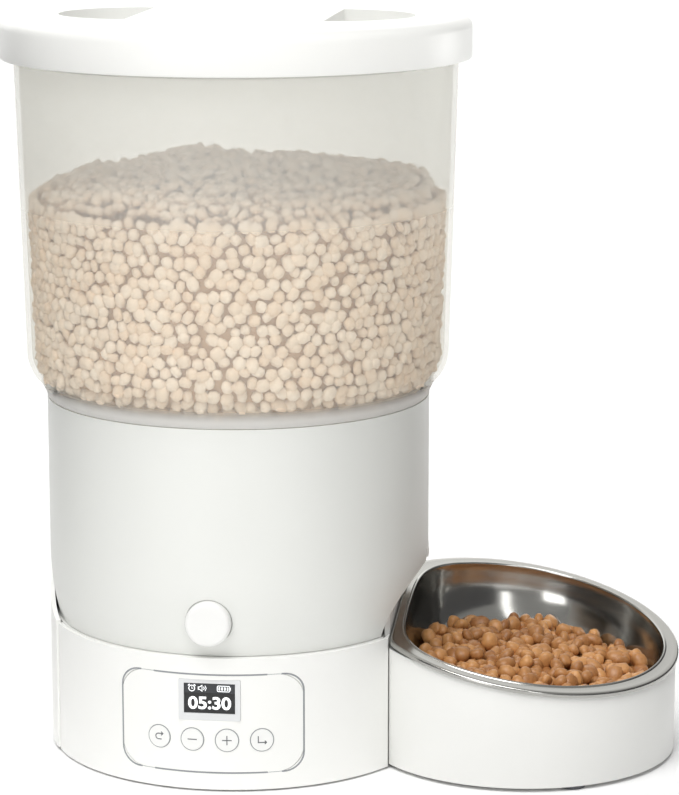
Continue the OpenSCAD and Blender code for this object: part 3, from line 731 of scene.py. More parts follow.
@dataclass
class Heap:
    """Loose kibble, packed from a few modelled shapes."""

    name: str
    size: float
    cuts: int
    seed: int
    round_share: float = 0.86
    lumps: float = 0.055
    vary: float = 0.16

    def shapes(self) -> list[Piece]:
        """Model the few shapes that the heap repeats.

        Returns:
            The shapes, around the origin and about a unit across.
        """
        made = []
        for k, (wide, thick) in enumerate(KIBBLE_FORMS):
            clear()
            bpy.ops.mesh.primitive_cube_add(size=0.8)
            obj = bpy.context.object
            bpy.ops.object.mode_set(mode="EDIT")
            bpy.ops.mesh.select_all(action="SELECT")
            bpy.ops.mesh.subdivide(number_cuts=self.cuts)
            bpy.ops.transform.tosphere(value=self.round_share)
            bpy.ops.transform.resize(value=(wide, 1.0, thick))
            bpy.ops.transform.vertex_random(offset=self.lumps, uniform=0.9, seed=self.seed + k)
            bpy.ops.mesh.vertices_smooth(factor=0.3)
            bpy.ops.object.mode_set(mode="OBJECT")
            made.append(obj)
        return made

    def fill(self, places: Spots, spread: float) -> Piece:
        """Lay a copy of a shape at each place and join them as one piece.

        Args:
            places: Where each lies, and the direction its flat side faces.
            spread: How far its flat side may lean, in radians.

        Returns:
            The heap's piece.
        """
        pick_one = random.Random(self.seed)
        shapes = self.shapes()
        forms = [([v.co.copy() for v in shape.data.vertices],
                  [tuple(p.vertices) for p in shape.data.polygons]) for shape in shapes]
        points: list[Vector] = []
        faces: list[tuple[int, ...]] = []
        tones: list[float] = []
        for place, face in places:
            verts, polys = forms[pick_one.randrange(len(forms))]
            scale = self.size * pick_one.uniform(1 - self.vary, 1 + self.vary)
            lean = Euler([pick_one.uniform(-spread, spread), pick_one.uniform(-spread, spread), 0])
            turn = (face.to_track_quat("Z", "Y").to_matrix() @ lean.to_matrix()
                    @ Matrix.Rotation(pick_one.uniform(0, math.tau), 3, "Z")) * scale
            base = len(points)
            points.extend(place + turn @ v for v in verts)
            faces.extend(tuple(base + i for i in poly) for poly in polys)
            tones.extend([pick_one.random()] * len(verts))
        mesh = bpy.data.meshes.new(self.name)
        mesh.from_pydata(points, [], faces)
        mesh.attributes.new("tone", "FLOAT", "POINT").data.foreach_set("value", tones)
        for shape in shapes:
            bpy.data.objects.remove(shape)
        obj = stand(self.name, mesh)
        pick(obj)
        bpy.ops.object.shade_smooth()
        return obj


# ------------------------------------------------------------------ tank
@dataclass
class Tank(Assembly):
    """The frosted tank and the kibble in it."""

    top_r: float = 118.2 * MM
    low_r: float = 113.6 * MM
    wall: float = 2.6 * MM
    bend_r: float = 20 * MM
    bend_z: float = 217 * MM
    bend_deg: float = 50
    foot_r: float = 103.0 * MM
    foot_edge: float = 0.4 * MM
    flare: float = 0.9 * MM
    flare_rise: float = 3.2 * MM
    neck_r: float = 100.4 * MM
    neck_edge: float = 0.6 * MM
    neck_z: float = 182 * MM
    throat_drop: float = 5 * MM
    throat_rise: float = 7 * MM
    joint_z: float = 193.3 * MM
    rim_z: float = 388 * MM
    rim_edge: float = 0.8 * MM
    fill_z: float = 301 * MM
    mound: float = 17 * MM
    row_rise: float = 6 * MM
    row_over: float = 4 * MM
    core_rise: float = 4 * MM
    core_sink: float = 9 * MM
    core_cover: float = 4.6 * MM
    kibble: float = 7.0 * MM
    # Shares of a kibble's size: its rows, the gaps in them, and how far it strays
    row_pitch: float = 0.82
    row_gap: float = 0.96
    ring_pitch: float = 0.92
    ring_gap: float = 0.98
    stray: float = 0.2
    sunk: float = 0.6
    sunk_rings: int = 4
    wall_seed: int = 11
    top_seed: int = 12

    def arc(self, inset: float) -> list[Point]:
        """The shoulder's curve, from its foot up to the straight wall.

        Args:
            inset: How far inside the outer face.

        Returns:
            Radius and height of each point.
        """
        middle = self.low_r - self.bend_r
        angles = [math.radians(-self.bend_deg * (1 - i / ARC_STEPS)) for i in range(ARC_STEPS + 1)]
        reach = self.bend_r - inset
        return [(middle + reach * math.cos(a), self.bend_z + reach * math.sin(a)) for a in angles]

    def shell(self) -> Piece:
        """Turn the tank's wall.

        Returns:
            The tank.
        """
        outer, inner = self.arc(0), self.arc(self.wall)
        bore, top_bore = self.neck_r - self.wall, self.top_r - self.wall
        low = [(bore, self.neck_z), (self.neck_r - self.neck_edge, self.neck_z),
               (self.neck_r, self.neck_z + self.neck_edge), (self.neck_r, self.joint_z),
               (self.foot_r - self.foot_edge, self.joint_z),
               (self.foot_r, self.joint_z + self.foot_edge),
               (self.foot_r + self.flare, self.joint_z + self.flare_rise)]
        high = [(self.top_r, self.rim_z - self.rim_edge), (self.top_r - self.rim_edge, self.rim_z),
                (top_bore + self.rim_edge, self.rim_z), (top_bore, self.rim_z - self.rim_edge)]
        throat = [(bore, outer[0][1] - self.throat_drop)]
        return lathe("tank_shell", TOWER, low + outer + high + inner[::-1] + throat, 192,
                     closed=True)

    def inner(self, z: float) -> float:
        """The tank's inner radius at a height.

        Args:
            z: The height.

        Returns:
            The radius.
        """
        if z >= self.bend_z:
            share = (z - self.bend_z) / (self.rim_z - self.bend_z)
            return self.low_r - self.wall + share * (self.top_r - self.low_r)
        curve = self.arc(self.wall)
        if z <= curve[0][1]:
            share = min(1.0, (curve[0][1] - z) / self.throat_rise)
            return curve[0][0] + share * (self.neck_r - self.wall - curve[0][0])
        drop = self.bend_z - z
        reach = self.bend_r - self.wall
        return self.low_r - self.bend_r + math.sqrt(max(0.0, reach * reach - drop * drop))

    def surface(self, r: float, angle: float) -> float:
        """Height of the kibble's top.

        Args:
            r: Distance from the axis.
            angle: Direction from the axis.

        Returns:
            The height.
        """
        share = r / self.low_r
        ripple = 2.2 * math.sin(3 * angle + 1) + 1.6 * math.sin(5 * angle + r * 60)
        return self.fill_z + self.mound * (1 - share * share) + ripple * MM * (0.4 + 0.6 * share)

    def core(self) -> Piece:
        """The kibble behind the outer layer, as one body.

        Returns:
            The body.
        """
        inset, steps = (0.62 + 0.25) * self.kibble, 14
        floor_z = self.neck_z + self.core_rise
        rise = self.fill_z - self.core_sink - floor_z
        heights = [floor_z + i * rise / steps for i in range(steps + 1)]
        side = [(self.inner(z) - inset, z) for z in heights]
        low = [(10 * MM, floor_z)]
        high = [(r * MM, self.surface(r * MM, 0.4) - self.core_cover) for r in (88, 66, 42, 20)]
        return lathe("tank_kibble_core", TOWER, low + side + high, 96)

    def wall_places(self) -> Spots:
        """Places of the kibble that lies against the wall.

        Returns:
            Each place and the direction outward there.
        """
        rng = random.Random(self.wall_seed)
        pitch = self.row_pitch * self.kibble
        low = self.neck_z + self.row_rise
        found = []
        for row in range(int((self.fill_z + self.row_over - low) / pitch)):
            z = low + row * pitch
            r = self.inner(z) - 0.52 * self.kibble
            count = int(math.tau * r / (self.row_gap * self.kibble))
            for k in range(count):
                shift = 0.5 * (row % 2) + rng.uniform(-self.stray, self.stray)
                angle = math.tau * (k + shift) / count
                high = z + rng.uniform(-self.stray, self.stray) * self.kibble
                if high > self.surface(r, angle) + 0.4 * self.kibble:
                    continue
                reach = self.inner(high) - self.kibble * rng.uniform(0.5, 0.72)
                out = Vector((math.cos(angle), math.sin(angle), 0))
                found.append((Vector((*TOWER, high)) + out * reach, out))
        return found

    def top_places(self) -> Spots:
        """Places of the kibble that lies on top.

        Returns:
            Each place and the direction upward there.
        """
        rng = random.Random(self.top_seed)
        pitch = self.ring_pitch * self.kibble
        found = []
        rows = int((self.inner(self.fill_z) - 0.55 * self.kibble) / pitch)
        # All rings on the surface, then the outermost again below them, from the wall inward
        rings = [(row, 0.0) for row in range(rows)]
        rings += [(rows - 1 - k, self.sunk) for k in range(self.sunk_rings)]
        for row, sunk in rings:
            r = pitch * (row + 0.6) + 0.3 * sunk * pitch
            count = max(1, int(math.tau * r / (self.ring_gap * self.kibble)))
            for k in range(count):
                angle = math.tau * (k + rng.random() * 0.5 + 0.37 * row) / count
                reach = r + rng.uniform(-self.stray, self.stray) * self.kibble
                lift = rng.uniform(-0.25, 0.3) - sunk
                high = self.surface(reach, angle) + lift * self.kibble
                out = Vector((math.cos(angle) * reach, math.sin(angle) * reach, 0))
                found.append((Vector((*TOWER, high)) + out, Vector((0.1, 0.1, 1))))
        return found

    def build(self) -> None:
        """Make the tank and its kibble."""
        self.hand_in(self.shell(), TANK, "hopper", "frosted_tank", "hopper_tank")
        # The core stands for the kibble behind the outer layer; its darker colour is painted shade
        self.hand_in(self.core(), DEEP_PAINTED_SHADE, "hopper")
        # The stored kibble's paler colour is painted light
        for name, places, spread, seed in (("tank_kibble_wall", self.wall_places(), 0.5, 21),
                                           ("tank_kibble_top", self.top_places(), 0.9, 22)):
            heap = Heap(name, self.kibble, 1, seed)
            self.hand_in(heap.fill(places, spread), STORED_PAINTED_LIGHT, "hopper")


# ------------------------------------------------------------------ bowl
@dataclass
class SteelBowl(Assembly):
    """The spun steel bowl with its flange, and the kibble in it."""

    flange_r: float = 85.7 * MM
    chord: float = 66.0 * MM
    open_r: float = 78.5 * MM
    open_flat: float = 62.0 * MM
    rim_z: float = 68.3 * MM
    tilt_deg: float = 11.4
    downhill_deg: float = 40.0
    depth: float = 38.0 * MM
    sheet: float = 0.8 * MM
    lip: float = 2.4 * MM
    seam: float = 1.1 * MM
    corner: float = 1.4 * MM
    dish_steps: int = 22
    steps: int = 180
    kibble: float = 9.2 * MM
    kibble_z: float = 46.5 * MM
    hill: float = 3.0 * MM
    hill_side: float = 12 * MM
    hill_spread: float = 40 * MM
    # Shares of a kibble's size: its grid, how far it strays, and the layers' depth
    grid: float = 0.8
    stray: float = 0.3
    layer_drop: float = 0.62
    layers: int = 3
    kibble_seed: int = 31

    def __post_init__(self) -> None:
        """Work out the flange's frame."""
        turn = Matrix.Rotation(-math.radians(self.downhill_deg), 4, "Z")
        lean = Matrix.Rotation(math.radians(self.tilt_deg), 4, "Y")
        place = Matrix.Translation((BOWL[0], BOWL[1], self.rim_z))
        self.to_row = place @ turn @ lean @ turn.inverted()
        self.normal = (self.to_row.to_3x3() @ Vector((0, 0, 1))).normalized()

    def opening(self, angle: float, inset: float) -> float:
        """Radius of the bowl's outline, a circle flattened toward the tower."""
        flat = (self.open_flat - inset) / max(-math.cos(angle), 0.01)
        return ((self.open_r - inset) ** -10 + flat ** -10) ** -0.1

    def outer(self, angle: float, grow: float) -> Vector:
        """A point of the flange's edge, which is round in plan.

        Args:
            angle: Direction from the bowl's axis.
            grow: How far outside the edge.

        Returns:
            The point, on the flange's plane.
        """
        flat = (self.chord + grow) / max(-math.cos(angle), 0.01)
        r = ((self.flange_r + grow) ** -60 + flat ** -60) ** (-1 / 60)
        x, y = r * math.cos(angle), r * math.sin(angle)
        fall = (self.normal.x * x + self.normal.y * y) / self.normal.z
        return Vector((BOWL[0] + x, BOWL[1] + y, self.rim_z - fall))

    def inset_at(self, share: float) -> float:
        """How far the dish's wall is inside its opening, at a share of its depth.

        Args:
            share: Depth over the whole depth.

        Returns:
            The inset.
        """
        knots = ((0, 0), (0.37, 2.8), (0.68, 8.0), (0.9, 15.0), (0.975, 20.5), (1.0, 27.0))
        for (s0, i0), (s1, i1) in zip(knots, knots[1:]):
            if share <= s1:
                t = (share - s0) / (s1 - s0)
                return (i0 + (i1 - i0) * t) * MM
        return knots[-1][1] * MM

    def rings(self) -> list[Callable[[float], Vector]]:
        """The bowl's rings, from the flange's turned lip in to the middle of the dish.

        Returns:
            For each ring, a function from direction to point.
        """
        made: list[Callable[[float], Vector]] = []
        for grow, drop in ((0, self.lip), (0, 1.2 * MM), (-0.12 * MM, 0.55 * MM),
                           (-0.5 * MM, 0.12 * MM), (-self.seam, 0)):
            made.append(lambda a, g=grow, d=drop: self.outer(a, g) - self.normal * d)

        def between(share: float, rise: float) -> Callable[[float], Vector]:
            """A ring across the flange, a share of the way to the opening."""
            return lambda a: (self.outer(a, -self.seam).lerp(self.dish(a, -self.corner, 0), share)
                              + self.normal * rise)

        made += [between(0.3, -0.05 * MM), between(0.7, -0.05 * MM), between(1.0, 0.0)]
        for inset, rise in ((-1.0, 0.35), (-0.55, 0.62), (-0.1, 0.6), (0.25, 0.3), (0.4, -0.2),
                            (0.4, -0.9)):
            made.append(lambda a, i=inset, r=rise: self.dish(a, i * MM, -r * MM))
        for k in range(1, self.dish_steps + 1):
            eased = 1 - (1 - k / self.dish_steps) ** 1.25
            made.append(lambda a, s=eased: self.dish(
                a, max(0.4 * MM, self.smooth_inset(s)), max(0.9 * MM, s * self.depth)))
        for inset in (34, 46, 60):
            made.append(lambda a, i=inset: self.dish(a, i * MM, self.depth))
        return made

    def smooth_inset(self, share: float) -> float:
        """The dish's inset, averaged so that its wall curves smoothly."""
        spans = (-0.09, -0.045, 0.0, 0.045, 0.09)
        return sum(self.inset_at(min(1.0, max(0.0, share + d))) for d in spans) / len(spans)

    def dish(self, angle: float, inset: float, depth: float) -> Vector:
        """A point of the dish, by direction, distance inside its opening and depth."""
        r = self.opening(angle, inset)
        return self.to_row @ Vector((r * math.cos(angle), r * math.sin(angle), -depth))

    def shell(self) -> Piece:
        """Walk a ring from the lip into the dish, then give the sheet its thickness.

        Returns:
            The bowl.
        """
        rings = self.rings()
        obj = start_ring(self.steps, self.flange_r, (0, 0, 0))
        for _ in rings[1:]:
            bpy.ops.mesh.extrude_edges_move(TRANSFORM_OT_translate={"value": (0, 0, -MM)})
        bpy.ops.mesh.edge_face_add()
        bpy.ops.object.mode_set(mode="OBJECT")
        start = [math.atan2(v.co.y, v.co.x) for v in obj.data.vertices[:self.steps]]
        for k, ring in enumerate(rings):
            for i, angle in enumerate(start):
                obj.data.vertices[k * self.steps + i].co = ring(angle)
        settle(obj, "steel_bowl")
        pick(obj)
        bpy.ops.object.mode_set(mode="EDIT")
        bpy.ops.mesh.select_all(action="SELECT")
        mesh = bmesh.from_edit_mesh(obj.data)
        mesh.faces.ensure_lookup_table()
        floor = min(mesh.faces, key=lambda f: f.calc_center_median().z)
        if floor.normal.z < 0:
            bpy.ops.mesh.flip_normals()
        bpy.ops.object.mode_set(mode="OBJECT")
        wall = obj.modifiers.new("sheet", "SOLIDIFY")
        wall.thickness, wall.offset = self.sheet, -1.0
        apply_all(obj)
        bpy.ops.object.shade_smooth_by_angle(angle=math.radians(50))
        return obj

    def level(self, dx: float, dy: float) -> float:
        """Height of the kibble's top.

        Args:
            dx: Distance from the bowl's axis toward +X.
            dy: Distance from it toward +Y.

        Returns:
            The height.
        """
        far = (dx + self.hill_side) ** 2 + (dy - self.hill_side) ** 2
        hill = self.hill * math.exp(-far / self.hill_spread ** 2)
        return self.kibble_z - 0.07 * dx + 0.015 * dy + hill

    def room(self, point: Vector, margin: float) -> bool:
        """Whether a point is inside the dish.

        Args:
            point: The point.
            margin: How far it has to stay from the wall.

        Returns:
            True if it is.
        """
        local = self.to_row.inverted() @ point
        if not -self.depth < local.z < 4 * MM:
            return False
        inset = self.smooth_inset(min(1.0, max(0.0, -local.z / self.depth)))
        angle = math.atan2(local.y, local.x)
        return math.hypot(local.x, local.y) < self.opening(angle, inset) - margin

    def kibble_places(self) -> Spots:
        """Places of the kibble, in three layers from the top down.

        Returns:
            Each place and the direction upward there.
        """
        rng = random.Random(self.kibble_seed)
        found = []
        pitch = self.grid * self.kibble
        span = int(self.open_r / pitch) + 2
        stray = self.stray
        for layer in range(self.layers):
            for i in range(-span, span):
                for j in range(-span, span):
                    shift = 0.5 * (j % 2) + 0.3 * layer
                    dx = (i + shift + rng.uniform(-stray, stray)) * pitch
                    dy = (j + 0.4 * layer + rng.uniform(-stray, stray)) * pitch * 0.9
                    lift = rng.uniform(-stray, 0.42) - self.layer_drop * layer
                    z = self.level(dx, dy) + lift * self.kibble
                    place = Vector((BOWL[0] + dx, BOWL[1] + dy, z))
                    if self.room(place, 0.5 * self.kibble):
                        found.append((place, Vector((rng.uniform(-0.5, 0.5),
                                                     rng.uniform(-0.5, 0.5), 1))))
        return found

    def build(self) -> None:
        """Make the bowl and its kibble."""
        self.hand_in(self.shell(), STEEL, "bowl", "bowl_steel", "bowl")
        heap = Heap("bowl_kibble", self.kibble, 2, 41)
        self.hand_in(heap.fill(self.kibble_places(), 1.2), KIBBLE, "bowl")


# ------------------------------------------------------------------ lid
@dataclass
class Lid(Assembly):
    """The lid: a round-shouldered cap with two half-round finger wells."""

    radius: float = 125 * MM
    low_z: float = 374 * MM
    high_z: float = 396 * MM
    shoulder: float = 6 * MM
    wall: float = 3 * MM
    ring_r: float = 113.2 * MM
    ring_wall: float = 2 * MM
    ring_drop: float = 2 * MM
    bridge_half: float = 52 * MM
    well_r: float = 43 * MM
    well_depth: float = 12 * MM
    well_corner: float = 5 * MM
    well_wall: float = 1.5 * MM
    edge: float = 0.8 * MM
    pole_r: float = 9 * MM

    def outline(self) -> list[Point]:
        """The cap's outline, from the middle of its underside round to the top.

        Returns:
            Radius and height of each point.
        """
        ceiling, inner = self.high_z - self.wall, self.radius - self.wall
        plug, low = self.ring_r - self.ring_wall, self.low_z - self.ring_drop
        under = [(self.pole_r, ceiling), (plug, ceiling), (plug, low), (self.ring_r, low),
                 (self.ring_r, ceiling), (inner, ceiling), (inner, self.low_z + 0.5 * MM),
                 (inner + 0.5 * MM, self.low_z), (self.radius - self.edge, self.low_z),
                 (self.radius - 0.25 * self.edge, self.low_z + 0.25 * self.edge),
                 (self.radius, self.low_z + self.edge)]
        middle = (self.radius - self.shoulder, self.high_z - self.shoulder)
        turns = [math.radians(90 * i / 10) for i in range(11)]
        round_top = [(middle[0] + self.shoulder * math.cos(a),
                      middle[1] + self.shoulder * math.sin(a)) for a in turns]
        return under + round_top + [(self.pole_r, self.high_z)]

    def well(self, side: int, grow: float, low: float, high: float) -> Piece:
        """A half-round prism, for a well or for the wall under it.

        Args:
            side: -1 for the left well, 1 for the right one.
            grow: How far outside the well's face.
            low: Its lower end.
            high: Its upper end.

        Returns:
            The prism.
        """
        r, steps = self.well_r + grow, 40
        half = math.acos(-grow / r)
        angles = [half * (1 - 2 * i / steps) for i in range(steps + 1)]
        fillets = [self.well_corner, *[0] * (steps - 1), self.well_corner]
        arc = [(r * math.cos(a), r * math.sin(a), fillet) for a, fillet in zip(angles, fillets)]
        outline = rounded(arc, closed=True)
        return prism("well", outline, low, high, lambda u, v, d: (
            TOWER[0] + side * (self.bridge_half + u), side * v, d))

    def build(self) -> None:
        """Make the lid."""
        cap = lathe("lid_cap", TOWER, self.outline(), 192)
        floor_z = self.high_z - self.well_depth
        for side in (-1, 1):
            under = self.well(side, self.well_wall, floor_z - self.well_wall, self.high_z - MM)
            combine(cap, under, Cut.JOIN)
        for side in (-1, 1):
            combine(cap, self.well(side, 0.0, floor_z, self.high_z + 2 * MM), Cut.REMOVE)
        settle(cap, "lid_cap")
        soften(cap, self.edge)
        apply_all(cap)
        bpy.ops.object.shade_smooth_by_angle(angle=math.radians(38))
        self.hand_in(cap, WHITE, "lid", "moulded_white", "lid")


# ------------------------------------------------------------------ thin marks
def ribbon(name: str, path: Sequence[Point], width: float, low: float, high: float, lay: Lay,
           closed: bool = False) -> Piece:
    """A thin raised stroke that follows a path.

    Args:
        name: The piece's name.
        path: The stroke's middle line, in metres. Three points or more.
        width: The stroke's width.
        low: Depth of its back.
        high: Depth of its face.
        lay: Places a path point and a depth in the feeder's frame.
        closed: Whether the last point joins the first.

    Returns:
        The stroke.
    """
    count = len(path)
    left, right = [], []
    for i, place in enumerate(path):
        here = Vector(place)
        before = here - Vector(path[i - 1]) if closed or i else None
        after = Vector(path[(i + 1) % count]) - here if closed or i < count - 1 else None
        arms = [arm.normalized() for arm in (before, after) if arm is not None]
        along = sum(arms, Vector((0, 0))).normalized()
        side = Vector((-along.y, along.x)) * (width / 2 / max(0.5, along.dot(arms[0])))
        left.append(here + side)
        right.append(here - side)
    obj = start_ring(count, 1, (0, 0, 0))
    bpy.ops.mesh.extrude_edges_move(TRANSFORM_OT_translate={"value": (0, 0, 1)})
    if not closed:
        mesh = bmesh.from_edit_mesh(obj.data)
        mesh.verts.index_update()
        for face in mesh.faces:
            face.select_set({0, count - 1} <= {v.index for v in face.verts})
        bmesh.update_edit_mesh(obj.data)
        bpy.ops.mesh.delete(type="FACE")
    bpy.ops.object.mode_set(mode="OBJECT")
    for vertex, point in zip(obj.data.vertices, left + right):
        vertex.co = lay(point.x, point.y, low)
    return push_out(obj, name, low, high, lay)


def circle(x: float, y: float, r: float, steps: int = 40) -> list[Point]:
    """Points of a circle, by its middle, its radius and how many there are."""
    return [(x + r * math.cos(math.tau * i / steps), y + r * math.sin(math.tau * i / steps))
            for i in range(steps)]


def box_path(wide: float, high: float, corner: float, x: float = 0.0,
             y: float = 0.0) -> list[Point]:
    """Points of a rounded rectangle.

    Args:
        wide: Its width.
        high: Its height.
        corner: Its corners' radius.
        x: Its middle, across.
        y: Its middle, up.

    Returns:
        The points, with some along the long sides so that it can follow a curve.
    """
    a, b = wide / 2, high / 2
    shares = [2 * i / 24 - 1 for i in range(5, 20)]
    there = [(x + a * share, y - b, 0.0) for share in shares]
    back = [(x - a * share, y + b, 0.0) for share in shares]
    corners = [(x - a, y - b, corner), *there, (x + a, y - b, corner),
               (x + a, y + b, corner), *back, (x - a, y + b, corner)]
    return rounded(corners, closed=True, steps=10)


def merge(name: str, pieces: Sequence[Piece]) -> Piece:
    """Join pieces as one.

    Args:
        name: The joined piece's name.
        pieces: What to join.

    Returns:
        The joined piece.
    """
    clear()
    for piece in pieces:
        piece.select_set(True)
    bpy.context.view_layer.objects.active = pieces[0]
    if len(pieces) > 1:
        bpy.ops.object.join()
    pieces[0].name = name
    pieces[0].data.name = name
    return pieces[0]


@dataclass
class Panel(Assembly):
    """What shows on the keypad: painted shade in the gaps round it and round the keys, the key
    icons, and the display.
    """

    face_r: float = 102.5 * MM
    wide: float = 95.6 * MM
    high: float = 52.6 * MM
    corner: float = 13 * MM
    middle_z: float = 36.7 * MM
    key_z: float = 28 * MM
    key_face: float = 102.9 * MM
    key_r: float = 5.85 * MM
    key_step_deg: float = 10.2
    glass_y: float = -101.4 * MM
    glass_z: float = 50.2 * MM
    stroke: float = 0.55 * MM
    gap: float = 0.3 * MM
    gap_line_width: float = 0.85 * MM
    digits_wide: float = 22.6 * MM
    digits_high: float = 6.9 * MM
    digits_drop: float = 2.6 * MM
    band_wide: float = 26.2 * MM
    band_high: float = 4.9 * MM
    band_rise: float = 5.3 * MM

    def on_front(self, u: float, v: float, d: float) -> Place:
        """A place on the round front: across, up from the floor, and out."""
        return TOWER[0] + u, -math.sqrt((self.face_r + d) ** 2 - u * u), v

    def on_glass(self, u: float, v: float, d: float) -> Place:
        """A place on the display: across, up from its middle, and out."""
        return TOWER[0] + u, self.glass_y - d, self.glass_z + v

    def on_key(self, number: int) -> Lay:
        """The places on a key's face.

        Args:
            number: The key, counted from the left.

        Returns:
            A function from across, up and out to a place.
        """
        angle = math.radians((number - 1.5) * self.key_step_deg)
        out, side = (math.sin(angle), -math.cos(angle)), (math.cos(angle), math.sin(angle))

        def lay(u: float, v: float, d: float) -> Place:
            """A place on this key's face."""
            r = self.key_face + d
            return TOWER[0] + out[0] * r + side[0] * u, out[1] * r + side[1] * u, self.key_z + v
        return lay

    def seam(self) -> Piece:
        """A grey line in the gap round the keypad: painted shade for the gap's shadow.

        Returns:
            The line.
        """
        path = box_path(self.wide + self.gap, self.high + self.gap, self.corner + self.gap / 2,
                        y=self.middle_z)
        return ribbon("panel_gap_shade", path, self.gap_line_width, -0.5 * MM, 0.1 * MM, self.on_front, True)

    def icons(self) -> dict[str, list[list[Point]]]:
        """The strokes of each key's icon.

        Returns:
            Paths by key, in millimetres.
        """
        hook = [(-0.5 + 1.5 * math.cos(a), 1.5 * math.sin(a))
                for a in (math.radians(90 + 18 * i) for i in range(11))]
        return {
            "key_back": [[(2.1, 1.5), (0.8, 1.5), *hook, (1.3, -1.5)],
                         [(1.1, 2.5), (2.1, 1.5), (1.1, 0.5)]],
            "key_minus": [[(-2.5, 0.0), (0.0, 0.0), (2.5, 0.0)]],
            "key_plus": [[(-2.5, 0.0), (0.0, 0.0), (2.5, 0.0)],
                         [(0.0, -2.5), (0.0, 0.0), (0.0, 2.5)]],
            "key_enter": [[(-2.0, 2.2), (-2.0, -1.3), (2.3, -1.3)],
                          [(1.4, -0.4), (2.3, -1.3), (1.4, -2.2)]],
        }

    def digits(self) -> Piece:
        """The clock's digits, in a heavy upright face.

        Returns:
            The digits, on the display.
        """
        clear()
        bpy.ops.object.text_add()
        text = bpy.context.object
        text.data.body, text.data.extrude, text.data.offset = "05:30", 0.02, 0.028
        bpy.ops.object.convert(target="MESH")
        text = bpy.context.object
        xs = [v.co.x for v in text.data.vertices]
        ys = [v.co.y for v in text.data.vertices]
        across = self.digits_wide / (max(xs) - min(xs))
        up = self.digits_high / (max(ys) - min(ys))
        for vertex in text.data.vertices:
            u = (vertex.co.x - (max(xs) + min(xs)) / 2) * across
            v = (vertex.co.y - (max(ys) + min(ys)) / 2) * up
            rise = 0.06 * MM if vertex.co.z > 0 else -0.02 * MM
            vertex.co = self.on_glass(u, v - self.digits_drop, rise)
        return settle(text, "display_digits", 20)

    def symbols(self) -> Piece:
        """The alarm, sound and battery symbols.

        Returns:
            The symbols, on the display.
        """
        thin, z = 0.42, 5.3
        strokes: list[tuple[list[Point], float, bool]] = [
            (circle(-9.3, z - 0.1, 1.55), thin, True),
            ([(-9.3, z + 0.8), (-9.3, z - 0.2), (-8.6, z - 0.2)], 0.3, False),
            ([(-11.2, z + 1.2), (-10.9, z + 1.7), (-10.3, z + 1.95)], 0.5, False),
            ([(-7.4, z + 1.2), (-7.7, z + 1.7), (-8.3, z + 1.95)], 0.5, False),
            ([(-5.9, z + 0.6), (-5.2, z + 0.6), (-3.9, z + 1.6), (-3.9, z - 1.6),
              (-5.2, z - 0.6), (-5.9, z - 0.6)], 0.4, True),
            ([(-3.1, z + 0.9), (-2.7, z), (-3.1, z - 0.9)], 0.35, False),
            ([(-2.3, z + 1.4), (-1.7, z), (-2.3, z - 1.4)], 0.35, False),
            (box_path(6.6, 3.0, 0.6, 7.4, z), 0.38, True),
            ([(10.95, z + 0.6), (10.95, z), (10.95, z - 0.6)], 0.5, False),
        ]
        strokes += [([(x, z + 0.85), (x, z), (x, z - 0.85)], 0.8, False)
                    for x in (5.2 + 1.45 * i for i in range(4))]
        made = [ribbon("symbol", [(u * MM, v * MM) for u, v in path], wide * MM, -0.02 * MM,
                       0.07 * MM, self.on_glass, closed) for path, wide, closed in strokes]
        return merge("display_symbols", made)

    def build(self) -> None:
        """Make the keypad's marks."""
        # Painted shade: a grey line stands in for the shadow in the gap round the keypad
        self.hand_in(self.seam(), GAP_SHADE, "base", "bezel_grey")
        for number, (key, paths) in enumerate(self.icons().items()):
            lay = self.on_key(number)
            marks = [ribbon("mark", [(u * MM, v * MM) for u, v in path], self.stroke,
                            -0.25 * MM, 0.05 * MM, lay) for path in paths]
            self.hand_in(merge(key + "_icon", marks), INK, key, "dark_plastic")
            # Painted shade: a grey ring stands in for the shadow in the gap round the key
            around = ribbon(key + "_gap_shade", circle(0, 0, self.key_r + 0.28 * MM, 48), 0.42 * MM,
                            -1.2 * MM, -0.32 * MM, lay, closed=True)
            self.hand_in(around, GAP_SHADE, "base", "bezel_grey")
        band = box_path(self.band_wide, self.band_high, 0.4 * MM, y=self.band_rise)
        strip = prism("display_band", band, -0.02 * MM, 0.02 * MM, self.on_glass)
        self.hand_in(strip, BAND, "base", "display_black")
        self.hand_in(self.digits(), LIT, "base", "gloss_white")
        self.hand_in(self.symbols(), LIT, "base", "gloss_white")


@dataclass
class Knob(Assembly):
    """The release knob, which slides back along Y."""

    radius: float = 12 * MM
    face_y: float = -107.7 * MM
    cap: float = 9 * MM
    middle_z: float = 91 * MM
    stem_r: float = 4 * MM
    stem_y: float = -74 * MM
    edge: float = 2.2 * MM
    back_edge: float = 0.6 * MM
    pole_r: float = 0.8 * MM

    def build(self) -> None:
        """Make the knob."""
        back, far = self.cap, self.stem_y - self.face_y
        turns = [math.radians(90 * i / 8) for i in range(9)]
        lip = [(self.radius - self.edge * (1 - math.cos(a)), -self.edge * (1 - math.sin(a)))
               for a in turns]
        outline = [(self.pole_r, -far), (self.stem_r, -far), (self.stem_r, -back),
                   (self.radius - self.back_edge, -back), (self.radius, -back + self.back_edge),
                   *lip, (self.radius * 0.6, -0.12 * MM), (self.pole_r, -0.25 * MM)]
        cap = lathe("knob_cap", (0.0, 0.0), outline, 96)
        cap.rotation_euler = (math.radians(90), 0, 0)
        cap.location = (TOWER[0], self.face_y, self.middle_z)
        settle(cap, "knob_cap")
        self.hand_in(cap, GLOSS, "release_knob", "gloss_white", "release_knob")


